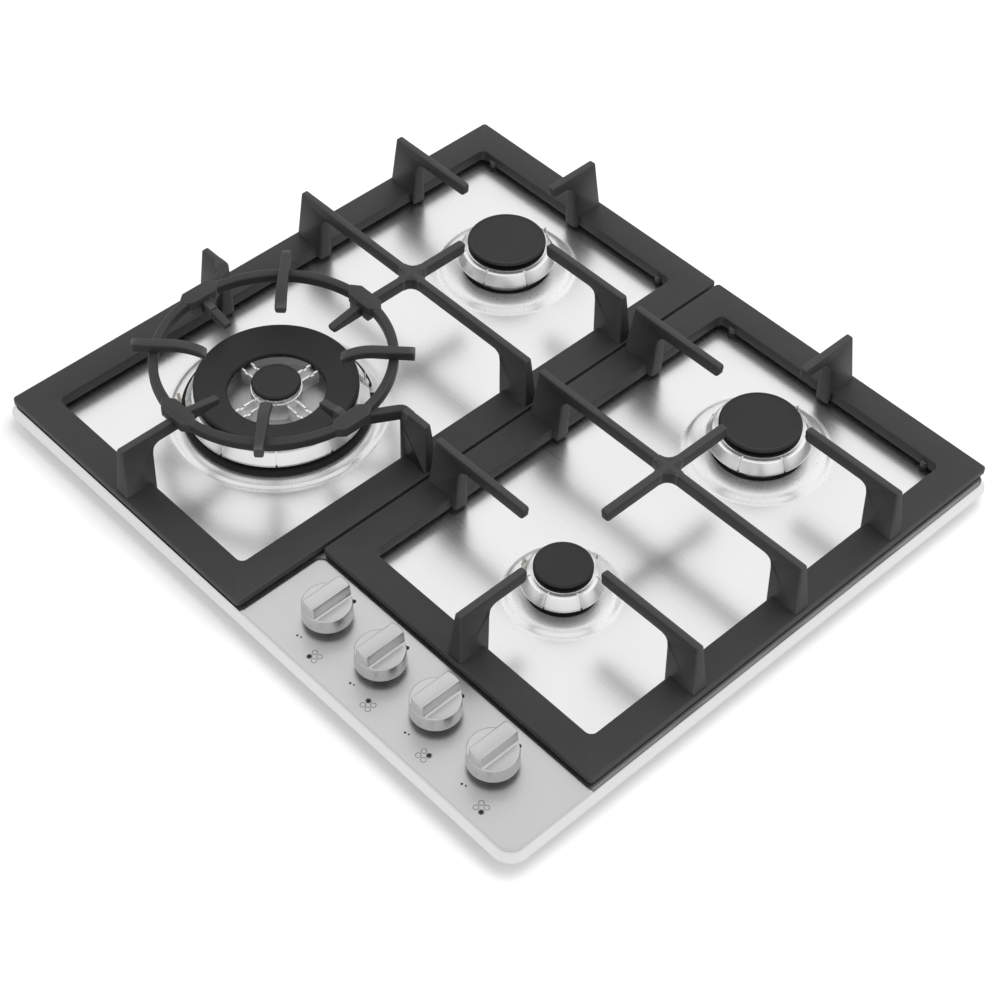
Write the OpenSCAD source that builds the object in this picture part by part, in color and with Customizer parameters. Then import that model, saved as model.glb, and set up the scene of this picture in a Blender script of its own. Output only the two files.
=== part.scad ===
// Four-burner gas cooktop with a front-right knob panel, two cast iron grates and a wok stand.
// Origin: centre of the tray in plan, underside of the burner box. +X right, +Y back, +Z up.

/* [Tray] */
// Width of the stainless steel tray, side to side
tray_w = 580; // [572:1:600]
// Depth of the stainless steel tray, front to back
tray_d = 510; // [506:1:522]
// Radius of the tray's outer corners in plan
tray_r = 16; // [13:1:22]
// Height of the rim above the worktop
rim_h = 8; // [7:0.5:11]
// Width of the sloping skirt round the rim
skirt_w = 4; // [3:0.5:5]
// Thickness of the tray's sheet
sheet_t = 1; // [0.8:0.1:1.2]
// Depth of the two wells below the rim
well_depth = 6; // [4.5:0.5:7]
// Width of the flat land between the rim's edge and a well
land_w = 12; // [10:0.5:13]
// Rise of the knob panel above the rim
panel_rise = 2; // [1:0.5:3]
// Distance from the tray's front edge to the back of the knob panel
panel_d = 82; // [80:0.5:84]

/* [Burner box] */
// Depth of the burner box below the worktop
box_h = 42; // [40:1:60]
// Thickness of the box's sheet
box_t = 1; // [0.8:0.1:1.2]
// Radius of the box's corners in plan
box_r = 10; // [8:1:14]

/* [Grates] */
// Width of the frames' outer bars
bar_w = 26; // [24:0.5:28]
// Width of the bars where the two grates meet
mid_bar_w = 27.5; // [25:0.5:29]
// Thickness of the frames
frame_t = 6; // [5:0.5:8]
// Gap between the rim and the underside of the frames
frame_lift = 2; // [1.5:0.5:4]
// Height of the finger tops above the frames
grate_rise = 44.5; // [40:0.5:50]
// Thickness of the fins and fingers
finger_w = 7; // [6:0.5:8]
// Depth of a finger, top to underside
finger_d = 11; // [10:0.5:13]
// Space between the two grates
grate_gap = 2.4; // [1.6:0.2:4]
// Distance from the tray's side edges to the grates
side_margin = 8.5; // [7:0.5:10]
// Distance from the tray's front edge to the left grate
front_margin = 4.5; // [3.5:0.5:6]
// Distance from the tray's back edge to the grates
back_margin = 1.5; // [1:0.5:3]

/* [Burner places] */
// Distance of both burner columns from the middle of the tray
column_x = 142; // [139:0.5:145]
// Distance of the rear burners behind the middle of the tray
rear_y = 148.5; // [146:0.5:151]
// Distance of the cross bars behind the middle of the tray
cross_y = 44; // [41:0.5:47]
// Distance of the front-right burner in front of the middle
aux_y = 62.5; // [60:0.5:65]
// Distance of the wok burner in front of the middle
wok_y = 97.5; // [95:0.5:100]
// Distance of the cranked fingers' posts in front of the middle
crank_y = 60; // [56:0.5:64]

/* [Burners] */
// Radius of the rear burners' caps
semi_cap_r = 32.3; // [31:0.1:33.5]
// Radius of the front-right burner's cap
aux_cap_r = 22.2; // [21:0.1:23.5]
// Outer radius of the wok burner's ring cap
wok_cap_r = 64.7; // [63:0.1:66]
// Radius of the hole in the wok burner's ring cap
wok_hole_r = 38.7; // [37:0.1:40]
// Radius of the wok burner's centre cap
wok_mid_r = 19.4; // [18.5:0.1:20.5]
// Thickness of the small caps
cap_t = 5.6; // [4.5:0.1:5.9]
// Height of the burners' skirts above their seats
skirt_lift = 10; // [9:0.5:11]
// Rise of the pressed seats above the well floor
seat_rise = 3.5; // [2.5:0.5:4]

/* [Wok stand] */
// Outer radius of the stand's ring
ring_r = 96; // [94:0.5:98]
// Width of the ring's bar
ring_w = 7.5; // [7:0.5:9]
// Height of the ring's top above the fingers that carry it
ring_rise = 4; // [3.5:0.5:6]
// Depth of the ring's bar
ring_d = 9; // [8:0.5:10]
// Radius at which the stand's fingers end inside
stand_tip_r = 51; // [48:0.5:54]
// Radius at which the stand's fingers end outside
stand_end_r = 109.5; // [106:0.5:113]

/* [Knobs] */
// Radius of a knob at its foot
knob_r = 19; // [17:0.5:20]
// Height of a knob
knob_h = 24; // [22:0.5:28]
// Width of the grip across a knob
grip_w = 13; // [11:0.5:15]
// Height of the grip above a knob's shelves
grip_h = 11; // [9:0.5:13]
// Space between the panel and a knob's foot
knob_gap = 5; // [4.5:0.5:6]
// Distance between neighbouring knobs
knob_pitch = 58; // [54:0.5:60]
// Distance of the first knob from the middle of the tray
knob_x0 = 50; // [46:0.5:52]
// Distance of the knobs from the tray's front edge
knob_front = 46.5; // [44:0.5:48]

/* [Gas parts] */
// Outer radius of the gas rail
rail_r = 8; // [7:0.5:9]
// Outer radius of the burner pipes
pipe_r = 4; // [3.5:0.25:4.25]
// Radius of the gas inlet's male thread
inlet_r = 10.48; // [8:0.02:10.5]
// Radius of the cable entry's bore
cable_r = 4; // [3:0.5:4.5]

/* [Hidden] */
$fn = 48;

// Overrun of every cut, clearance of a seat, of a free gap, of a push fit and of a running fit
cut = 1;
seat_gap = 0.2;
free_gap = 0.5;
fit_gap = 0.1;
run_gap = 0.05;

// Levels above the underside of the box
worktop_z = box_h;
rim_z = worktop_z + rim_h;
panel_z = rim_z + panel_rise;
floor_z = rim_z - well_depth;
seat_z = floor_z + seat_rise;
frame_z = rim_z + frame_lift;
frame_top_z = frame_z + frame_t;
finger_z = frame_top_z + grate_rise;

// Tray: slopes are widths per unit of height
skirt_slope = skirt_w / rim_h;
panel_slope = 0.6;
well_slope = 1;
well_r = 20;
spine_w = 28;
panel_left = 1.4;
panel_r = 7;
well_back_of_panel = 15;
edge_x = tray_w / 2 - skirt_w;
edge_y = tray_d / 2 - skirt_w;
panel_back = panel_d - tray_d / 2;
// Each well as its left, right, front and back edge at the rim
wells = [
    [land_w - edge_x, -spine_w / 2, land_w - edge_y, edge_y - land_w],
    [spine_w / 2, edge_x - land_w, panel_back + well_back_of_panel, edge_y - land_w]
];

// Box: its walls stand just outside the wells
box_gap = 0.5;
box_x = edge_x - land_w + sheet_t + box_gap + box_t;
box_y = edge_y - land_w + sheet_t + box_gap + box_t;
box_top = rim_z - sheet_t;
tab_w = 20;
tab_t = 1.2;
tab_drop = 16;
tab_hole_drop = 9;
tab_y_shares = [-0.7, 0, 0.7];
tab_hole_r = 1.7;

// Seal under the rim
seal_w = 5;
seal_in = 1.5;

// Burners in order: rear left, rear right, front right, wok
burner_x = [-column_x, column_x, column_x, -column_x];
burner_y = [rear_y, rear_y, -aux_y, -wok_y];
cap_rs = [semi_cap_r, semi_cap_r, aux_cap_r, wok_cap_r];
// How far a skirt's foot stands out past its cap, and its top past the cap
skirt_outs = [8.9, 8.9, 9.6, 7.8];
skirt_top_outs = [3.7, 3.7, 3.8, 1.3];
skirt_rs = [for (b = [0:3]) cap_rs[b] + skirt_outs[b]];
skirt_top_rs = [for (b = [0:3]) cap_rs[b] + skirt_top_outs[b]];
// How far the pressed seats stand out past the skirts, and the slope at their edge
seat_outs = [15.8, 15.8, 12.2, 13.5];
seat_rs = [for (b = [0:3]) skirt_rs[b] + seat_outs[b]];
seat_slope_w = 3.5;
// How far inside their caps' edges the holes through the seats, the cups, the flanges and the screws are
hole_ins = [12.3, 12.3, 9.2, 24.7];
cup_ins = [8.3, 8.3, 5.2, 20.7];
flange_ins = [-0.7, -0.7, -1.8, 6.7];
screw_ins = [4.3, 4.3, 1.8, 12.7];
hole_rs = cap_rs - hole_ins;
cup_rs = cap_rs - cup_ins;
flange_rs = cap_rs - flange_ins;
screw_rs = cap_rs - screw_ins;
flange_t = 3;
cup_wall = 4;
cup_base_drop = 7;
// How far igniters and thermocouples stand outside a skirt's foot, or inside it in a notch
igniter_outs = [3.7, 3.7, 3.7, -2.5];
igniter_rs = [for (b = [0:3]) skirt_rs[b] + igniter_outs[b]];
igniter_angles = [90, 90, 90, 60];
thermo_outs = [-2.5, -2.5, 0.5, 3.7];
thermo_rs = [for (b = [0:3]) skirt_rs[b] + thermo_outs[b]];
thermo_angles = [197, 197, 197, 232];
screw_angles = [15, 165];
probe_rs = [for (b = [0:3]) [igniter_rs[b], thermo_rs[b]]];
probe_angles = [for (b = [0:3]) [igniter_angles[b], thermo_angles[b]]];
lug_r = 3.7;
lug_w = 6;
lug_hole_r = 2.7;
igniter_r = 2.5;
igniter_rises = [7, 7, 5, 15];
igniter_pin_r = 0.8;
igniter_pin_rises = [14, 14, 10, 23];
igniter_drop = 8;
igniter_collar_r = 3.9;
igniter_collar_t = 2.5;
thermo_r = 2;
thermo_rises = [15, 15, 15, 20];
thermo_drop = 12;
thermo_nut_r = 4.4;
thermo_nut_t = 4;
plate_hole_r = 2.9;
cup_screw_r = 1.9;
cup_screw_head_r = 3;
cup_screw_head_t = 1.8;
cup_screw_l = 6;

// Injectors
injector_r = 4;
injector_h = 5;
injector_shank_r = 2.4;
injector_shank_l = 3;
jet_r = 0.6;
channel_r = 2.5;
channel_roof = 1;

// Small spreaders, measured up from the seat
venturi_wall = 3;
venturi_gap = 0.6;
venturi_drop = 4;
base_in = 4.2;
base_wall = 3.5;
web_z = 6;
skirt_lip = 0.8;
skirt_rise = 10.5;
teeth_in = 0.5;
teeth_w = 5;
teeth_h = 1.8;
port_w = 1.2;
port_count = 24;
slot_w = 1.4;
slot_count = 7;
slot_start = 84;
slot_depth = 2;
thermo_notch_r = 3.2;

// Small caps
cap_chamfer = 1;
cap_rim_w = 3;
cap_rim_h = 0.4;
cap_key_w = 2;
cap_key_gap = 0.6;
cap_key_h = 1.5;

// Wok spreader, measured up from the seat
wok_base_out = 3.5;
wok_base_w = 16;
wok_base_h = 4.5;
wok_skirt_lift = 7;
wok_top = 21;
wok_wall_out = 2.5;
wok_ring_in = 3.5;
wok_spigot_gap = 0.6;
wok_spigot_wall = 3;
wok_spigot_drop = 4;
wok_floor_z = 3;
wok_floor_t = 2.5;
arm_w = 11;
arm_top = 15;
arm_rib_w = 2;
arm_rib_h = 3;
mid_out = 1;
mid_wall = 4;
mid_top = 25;
wok_slot_count = 10;
wok_slot_start = 32;
probe_notch_r = 4.5;
wok_port_h = 3;
wok_port_count = 36;

// Wok caps, measured up from the spreader's top
wok_cap_t = 4.5;
wok_rim_up = 2.5;
wok_cap_fall = 4;
wok_cap_bead_w = 2;
wok_mid_t = 4;

// Grate frames
grate_r = 3;
window_r = 5.5;
lip_w = 4;
lip_drop = 4.5;
leg_w = 7;
leg_taper = 2.5;
leg_gap = 2.5;
fin_base_in = 1.5;
fin_top_in = 5.7;
fin_corner = 2;
fin_inner_fillet = 8;
tip_round = 2.5;
tip_rake = 1.5;
tip_corner = 3;
tip_fall = 5;
tip_fall_l = 26;
stub_r = 3;
stub_front_out = 1.5;
stub_back_out = 0.5;
stub_along = 13;
foot_r = 4;
foot_h = 3;
foot_base_t = 1.5;
// Radius round each burner at which the fingers end: rear left, rear right, front right, wok
tip_rs = [48.5, 43.5, 39, 56];
// Where the cranked fingers turn, from the middle of the wok burner
crank_out = 107;
crank_in = 85;
cross_fillet = 9;

// Wok stand
stand_tip_w = 9.5;
stand_end_w = 7.5;
stand_finger_up = 8;
stand_flat_share = 0.55;
stand_tip_fall = 9;
stand_tip_d = 6.5;
stand_end_d = 9.5;
pad_l = 40;
pad_w = 14;
pad_flat = 23;
pad_up = 0.8;
stand_lug_w = 7.5;
stand_lug_d = 6;
stand_lug_drop = 6;
notch_h = ring_d - ring_rise + stand_lug_drop + cut + 2 * seat_gap;
curve_steps = 8;

// Taps hang below the worktop's level, behind the knobs
tap_y = knob_front - tray_d / 2;
tap_w = 24;
tap_d = 26;
tap_top = worktop_z - 3;
tap_h = 29;
tap_roof = 2;
pipe_z = worktop_z - 7;
rail_drop = 22;
rail_z = worktop_z - rail_drop;
plug_r = 7;
plug_up = 4.5;
plug_h = tap_h - plug_up;
plug_port_r = 2.5;
tang_w = 5;
tang_depth = 12;
tang_clear = 4;
spigot_r = 4;
spigot_l = 5;
socket_depth = 8;
spindle_r = 4;
collar_r = 6.4;
collar_t = 1.5;
collar_drop = 2;
switch_w = 22;
switch_d = 24;
switch_h = 5;
switch_hole_r = 8;
spring_r = 5.3;
wire_r = 0.35;
spring_turns = 3.5;
spring_sides = 6;
spring_steps = 12;

// Knobs
knob_taper = 1;
knob_wall = 2.5;
knob_hollow = 9;
hub_r = 7;
hub_in = 1;
bore_h = 14;
grip_chamfer = 1.6;
panel_hole_r = 6;
bush_r = 9;
bush_t = 1.5;
bush_bore_gap = 0.4;

// Rail, pipes and inlet
rail_wall = 1.5;
rail_end = 20;
rail_back_in = 22.5;
rail_back_x = box_x - rail_back_in;
rail_bend = 24;
// Places of the rail's straps along the row of knobs, in pitches
strap_places = [0.5, 2.5];
strap_w = 14;
strap_t = 2;
inlet_w = 26;
inlet_d = 20;
inlet_bore_r = 6;
inlet_out = 13;
inlet_neck_r = 9.4;
inlet_neck_out = 0.5;
inlet_hole_gap = 0.6;
pipe_wall = 1;
pipe_bend = 14;
nut_r = 6.4;
nut_l = 7;
boss_r = 7;
boss_l = 9;
// Turning points of the pipes behind the taps: rows in front of the middle, columns beside it
pipe_row_wok = 150;
pipe_row_left = 130;
pipe_row_right = 114;
pipe_col_wok = -60;
pipe_col_left = 12;
pipe_col_right = 74;

// Ignition and mains parts on the floor of the box
generator_w = 62;
generator_d = 36;
generator_h = 24;
generator_side = 61.5;
generator_front = 36.5;
generator_x = generator_side - box_x;
generator_y = generator_front - box_y;
generator_posts = 4;
post_r = 3;
post_h = 5;
post_pitch = 14;
generator_lug = 8;
lug_t = 2;
block_w = 44;
block_d = 24;
block_h = 14;
entry_side = 76.5;
block_x = entry_side - box_x;
block_gap = 12;
block_screw_r = 3;
block_screw_t = 2;
block_screw_pitch = 13;
gland_x = block_x;
gland_z = 20;
gland_wall = 4;
gland_in = 8;
gland_nut_r = 11.5;
gland_nut_t = 4;
gland_out = 11;

// Clamps that hold the box to a worktop
clamp_w = 18;
clamp_t = 1.5;
clamp_h = 24;
clamp_arm = 11;
clamp_z = 5;
clamp_y_share = 0.62;
clamp_slot_r = 2.2;
clamp_slot_l = 10;
clamp_hole_z = 18;
screw_r = 1.9;
screw_head_r = 3.6;
screw_head_t = 2;
screw_l = 6;

function knob_x(k) = knob_x0 + k * knob_pitch;

// Block with rounded corners whose four sides slope in by s over its height h
module sloped_block(w, d, r, h, s) {
    for (x = [-1, 1], y = [-1, 1])
        translate([x * (w / 2 - r), y * (d / 2 - r), 0])
            cylinder(h = h, r1 = r, r2 = r - s);
    rotate([90, 0, 90])
        translate([0, 0, r - w / 2])
            linear_extrude(w - 2 * r)
                polygon([[-d / 2, 0], [d / 2, 0], [d / 2 - s, h], [s - d / 2, h]]);
    rotate([90, 0, 0])
        translate([0, 0, r - d / 2])
            linear_extrude(d - 2 * r)
                polygon([[-w / 2, 0], [w / 2, 0], [w / 2 - s, h], [s - w / 2, h]]);
}

// The same block from level z0 to z1, where w, d and r are its sizes at level 0
module sloped_span(w, d, r, z0, z1, slope) {
    translate([0, 0, z0])
        sloped_block(w - 2 * slope * z0, d - 2 * slope * z0, r - slope * z0, z1 - z0, slope * (z1 - z0));
}

// Upright block with rounded corners
module rounded_block(w, d, r, h) {
    translate([r - w / 2, r - d / 2, 0])
        cube([w - 2 * r, d - 2 * r, h]);
    translate([-w / 2, r - d / 2, 0])
        cube([w, d - 2 * r, h]);
    translate([r - w / 2, -d / 2, 0])
        cube([w - 2 * r, d, h]);
    for (x = [-1, 1], y = [-1, 1])
        translate([x * (w / 2 - r), y * (d / 2 - r), 0])
            cylinder(h = h, r = r);
}

// The same block given by its four edges: left, right, front, back
module edge_block(e, r, h) {
    translate([(e[0] + e[1]) / 2, (e[2] + e[3]) / 2, 0])
        rounded_block(e[1] - e[0], e[3] - e[2], r, h);
}

// Moves a piece to a burner's axis
module at_burner(b, z) {
    translate([burner_x[b], burner_y[b], z])
        children();
}

// Moves a piece to a knob's axis
module at_knob(k, z) {
    translate([knob_x(k), tap_y, z])
        children();
}

// Moves a piece to radius r at angle a round a burner
module around(b, a, r, z) {
    at_burner(b, z)
        rotate([0, 0, a])
            translate([r, 0, 0])
                children();
}

// A well's shape between two levels below the rim, grown sideways by g
module well_shape(e, g, z0, z1) {
    translate([(e[0] + e[1]) / 2, (e[2] + e[3]) / 2, rim_z])
        sloped_span(e[1] - e[0] + 2 * g, e[3] - e[2] + 2 * g, well_r + g, z0, z1, -well_slope);
}

// The knob panel's block, cut to the rim's own outline, shrunk by g, between two levels at the rim
module panel_shape(g, z0, z1) {
    e = [panel_left + g, edge_x + panel_r, -edge_y - panel_r, panel_back - g];
    intersection() {
        translate([(e[0] + e[1]) / 2, (e[2] + e[3]) / 2, rim_z])
            sloped_span(e[1] - e[0], e[3] - e[2], panel_r, z0, z1, panel_slope);
        translate([0, 0, rim_z])
            sloped_span(2 * (edge_x - g), 2 * (edge_y - g), tray_r - skirt_w, z0, z1, panel_slope);
    }
}

// Raised seat round a burner: its outside, or its inside one sheet lower
module seat_outside(b) {
    r = seat_rs[b];
    at_burner(b, floor_z)
        rotate_extrude()
            polygon([[0, -sheet_t / 2], [r, -sheet_t / 2], [r, 0], [r - seat_slope_w, seat_rise], [0, seat_rise]]);
}
module seat_inside(b) {
    r = seat_rs[b] - sheet_t;
    roof = seat_rise - sheet_t;
    at_burner(b, floor_z)
        rotate_extrude()
            polygon([[0, -sheet_t - cut], [r, -sheet_t - cut], [r, -sheet_t], [r - seat_slope_w, roof], [0, roof]]);
}

module seat_holes(b) {
    at_burner(b, floor_z - cut)
        cylinder(h = seat_rise + 2 * cut, r = hole_rs[b]);
    for (i = [0, 1])
        around(b, probe_angles[b][i], probe_rs[b][i], floor_z)
            cylinder(h = seat_rise + cut, r = plate_hole_r);
    for (a = screw_angles)
        around(b, a, screw_rs[b], floor_z)
            cylinder(h = seat_rise + cut, r = cup_screw_r + fit_gap);
}

// Places of the six tabs that the box is screwed to, as side and distance from the middle
module at_tabs() {
    for (side = [0, 1], s = tab_y_shares)
        mirror([side, 0, 0])
            translate([box_x - box_t - box_gap / 2, s * box_y, 0])
                children();
}

module top_plate() {
    color("lightgray")
    difference() {
        union() {
            difference() {
                union() {
                    difference() {
                        translate([0, 0, worktop_z])
                            sloped_span(tray_w, tray_d, tray_r, 0, rim_h, skirt_slope);
                        translate([0, 0, worktop_z])
                            sloped_span(tray_w - 2 * sheet_t, tray_d - 2 * sheet_t, tray_r - sheet_t,
                                -cut, rim_h - sheet_t, skirt_slope);
                    }
                    panel_shape(0, -sheet_t, panel_rise);
                    for (e = wells)
                        well_shape(e, sheet_t, -well_depth - sheet_t, 0);
                }
                for (e = wells)
                    well_shape(e, 0, -well_depth, cut);
                panel_shape(sheet_t, -sheet_t - cut, panel_rise - sheet_t);
            }
            for (b = [0:3])
                seat_outside(b);
            at_tabs()
                translate([-tab_t, -tab_w / 2, box_top - tab_drop])
                    cube([tab_t, tab_w, tab_drop + sheet_t / 2]);
        }
        for (b = [0:3]) {
            seat_inside(b);
            seat_holes(b);
        }
        for (k = [0:3])
            at_knob(k, rim_z - cut)
                cylinder(h = panel_rise + 2 * cut, r = panel_hole_r);
        at_tabs()
            translate([-tab_t - cut, 0, box_top - tab_hole_drop])
                rotate([0, 90, 0])
                    cylinder(h = tab_t + 2 * cut, r = tab_hole_r);
    }
}

// Places of the four clamps on the box's sides
module at_clamps() {
    for (side = [0, 1], s = [-1, 1])
        mirror([side, 0, 0])
            translate([box_x, s * clamp_y_share * box_y, 0])
                children();
}

module bottom_box() {
    color("gainsboro")
    difference() {
        rounded_block(2 * box_x, 2 * box_y, box_r, box_top);
        translate([0, 0, box_t])
            rounded_block(2 * (box_x - box_t), 2 * (box_y - box_t), box_r - box_t, box_top);
        at_tabs()
            translate([0, 0, box_top - tab_hole_drop])
                rotate([0, 90, 0])
                    cylinder(h = box_t + box_gap + cut, r = screw_r + fit_gap);
        at_clamps()
            translate([-box_t - cut, 0, clamp_hole_z])
                rotate([0, 90, 0])
                    cylinder(h = box_t + 2 * cut, r = screw_r + fit_gap);
        translate([rail_back_x, box_y - box_t - cut, rail_z])
            rotate([-90, 0, 0])
                cylinder(h = box_t + 2 * cut, r = inlet_r + inlet_hole_gap);
        translate([gland_x, box_y - box_t - cut, gland_z])
            rotate([-90, 0, 0])
                cylinder(h = box_t + 2 * cut, r = cable_r + gland_wall + fit_gap);
    }
}

module worktop_seal() {
    out_x = edge_x - seal_in;
    out_y = edge_y - seal_in;
    out_r = tray_r - skirt_w - seal_in;
    color("dimgray")
    translate([0, 0, worktop_z])
        difference() {
            rounded_block(2 * out_x, 2 * out_y, out_r, rim_h - sheet_t);
            translate([0, 0, -cut])
                rounded_block(2 * (out_x - seal_w), 2 * (out_y - seal_w), out_r - seal_w, rim_h + cut);
        }
}

// Side on which each cup takes its pipe: 1 right, -1 left
inlet_sides = [1, -1, 1, 1];
cup_z = seat_z - sheet_t;
cup_floor_z = pipe_z + channel_r + channel_roof;

module burner_cup(b) {
    side = inlet_sides[b];
    color("darkgray")
    difference() {
        union() {
            at_burner(b, cup_z - flange_t)
                cylinder(h = flange_t, r = flange_rs[b]);
            at_burner(b, pipe_z - cup_base_drop)
                cylinder(h = cup_z - pipe_z + cup_base_drop, r = cup_rs[b]);
            at_burner(b, pipe_z)
                rotate([0, 90 * side, 0])
                    cylinder(h = cup_rs[b] + boss_l, r = boss_r);
            for (i = [0, 1])
                at_burner(b, cup_z - flange_t)
                    rotate([0, 0, probe_angles[b][i]]) {
                        translate([0, -lug_w / 2, 0])
                            cube([probe_rs[b][i] - lug_w / 4, lug_w, flange_t]);
                        translate([probe_rs[b][i], 0, 0])
                            cylinder(h = flange_t, r = lug_r);
                    }
        }
        at_burner(b, cup_floor_z)
            cylinder(h = cup_z - cup_floor_z + cut, r = cup_rs[b] - cup_wall);
        at_burner(b, pipe_z)
            cylinder(h = cup_floor_z - pipe_z + cut, r = channel_r);
        at_burner(b, pipe_z)
            rotate([0, 90 * side, 0])
                cylinder(h = cup_rs[b] + boss_l, r = channel_r);
        at_burner(b, pipe_z)
            rotate([0, 90 * side, 0])
                translate([0, 0, cup_rs[b] + boss_l - socket_depth])
                    cylinder(h = socket_depth + cut, r = pipe_r + fit_gap);
        for (i = [0, 1])
            around(b, probe_angles[b][i], probe_rs[b][i], cup_z - flange_t - cut)
                cylinder(h = flange_t + 2 * cut, r = lug_hole_r);
        for (a = screw_angles)
            around(b, a, screw_rs[b], cup_z - flange_t - cut)
                cylinder(h = flange_t + 2 * cut, r = cup_screw_r + run_gap);
    }
}

module injectors() {
    color("goldenrod")
    for (b = [0:3])
        at_burner(b, cup_floor_z)
            difference() {
                union() {
                    cylinder(h = injector_h, r = injector_r, $fn = 6);
                    translate([0, 0, -injector_shank_l])
                        cylinder(h = injector_shank_l, r = injector_shank_r);
                }
                translate([0, 0, -injector_shank_l - cut])
                    cylinder(h = injector_shank_l + injector_h + 2 * cut, r = jet_r);
            }
}

module igniters() {
    color("white")
    for (b = [0:3])
        around(b, igniter_angles[b], igniter_rs[b], cup_z - flange_t - igniter_drop) {
            cylinder(h = seat_z + igniter_rises[b] - cup_z + flange_t + igniter_drop, r = igniter_r);
            cylinder(h = seat_z + igniter_pin_rises[b] - cup_z + flange_t + igniter_drop, r = igniter_pin_r);
            translate([0, 0, igniter_drop - igniter_collar_t])
                cylinder(h = igniter_collar_t, r = igniter_collar_r);
        }
}

module thermocouples() {
    color("peru")
    for (b = [0:3])
        around(b, thermo_angles[b], thermo_rs[b], cup_z - flange_t - thermo_drop) {
            cylinder(h = seat_z + thermo_rises[b] - cup_z + flange_t + thermo_drop, r = thermo_r);
            translate([0, 0, thermo_drop - thermo_nut_t])
                cylinder(h = thermo_nut_t, r = thermo_nut_r, $fn = 6);
        }
}

module cup_screws() {
    color("silver")
    for (b = [0:3], a = screw_angles)
        around(b, a, screw_rs[b], seat_z) {
            cylinder(h = cup_screw_head_t, r = cup_screw_head_r);
            translate([0, 0, -cup_screw_l])
                cylinder(h = cup_screw_l, r = cup_screw_r);
        }
}

// Spreader of a small burner: a tube into the cup, a base ring, a polished skirt and a ring of teeth
module small_spreader(b) {
    tube_out = hole_rs[b] - venturi_gap;
    tube_in = tube_out - venturi_wall;
    base_r = skirt_rs[b] - base_in;
    skirt_top = skirt_lift + skirt_rise;
    teeth_r = cap_rs[b] - teeth_in;
    teeth_inner = teeth_r - teeth_w;
    color("silver")
    difference() {
        at_burner(b, seat_z)
            rotate_extrude()
                polygon([
                    [tube_in, -venturi_drop], [tube_out, -venturi_drop], [tube_out, web_z],
                    [base_r - base_wall, web_z], [base_r - base_wall, seat_gap], [base_r, seat_gap],
                    [base_r, skirt_lift], [skirt_rs[b] - skirt_lip, skirt_lift],
                    [skirt_rs[b], skirt_lift + skirt_lip], [skirt_top_rs[b], skirt_top],
                    [teeth_r, skirt_top], [teeth_r, skirt_top + teeth_h],
                    [teeth_inner, skirt_top + teeth_h], [teeth_inner, skirt_top], [tube_in, skirt_top]
                ]);
        for (i = [0:port_count - 1])
            around(b, i * 360 / port_count, teeth_inner - cut, seat_z + skirt_top)
                translate([0, -port_w / 2, 0])
                    cube([teeth_w + 2 * cut, port_w, teeth_h + cut]);
        for (i = [0:slot_count - 1])
            around(b, slot_start + i * 360 / slot_count, skirt_top_rs[b] - slot_depth, seat_z + skirt_lift)
                translate([0, -slot_w / 2, -cut])
                    cube([skirt_rs[b], slot_w, skirt_rise + 2 * cut]);
        around(b, thermo_angles[b], thermo_rs[b], seat_z - cut)
            cylinder(h = skirt_lift + skirt_rise, r = thermo_notch_r);
    }
}

module small_cap(b) {
    r = cap_rs[b];
    key_r = r - teeth_in - teeth_w - cap_key_gap;
    z = skirt_lift + skirt_rise + teeth_h + seat_gap;
    color("dimgray")
    at_burner(b, seat_z + z)
        rotate_extrude()
            polygon([
                [0, 0], [key_r - cap_key_w, 0], [key_r - cap_key_w, -cap_key_h], [key_r, -cap_key_h],
                [key_r, 0], [r - cap_chamfer / 2, 0], [r, cap_chamfer / 2], [r, cap_t - cap_chamfer],
                [r - cap_chamfer, cap_t], [r - cap_rim_w, cap_t], [r - cap_rim_w - cap_rim_h, cap_t - cap_rim_h],
                [0, cap_t - cap_rim_h]
            ]);
}

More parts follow.
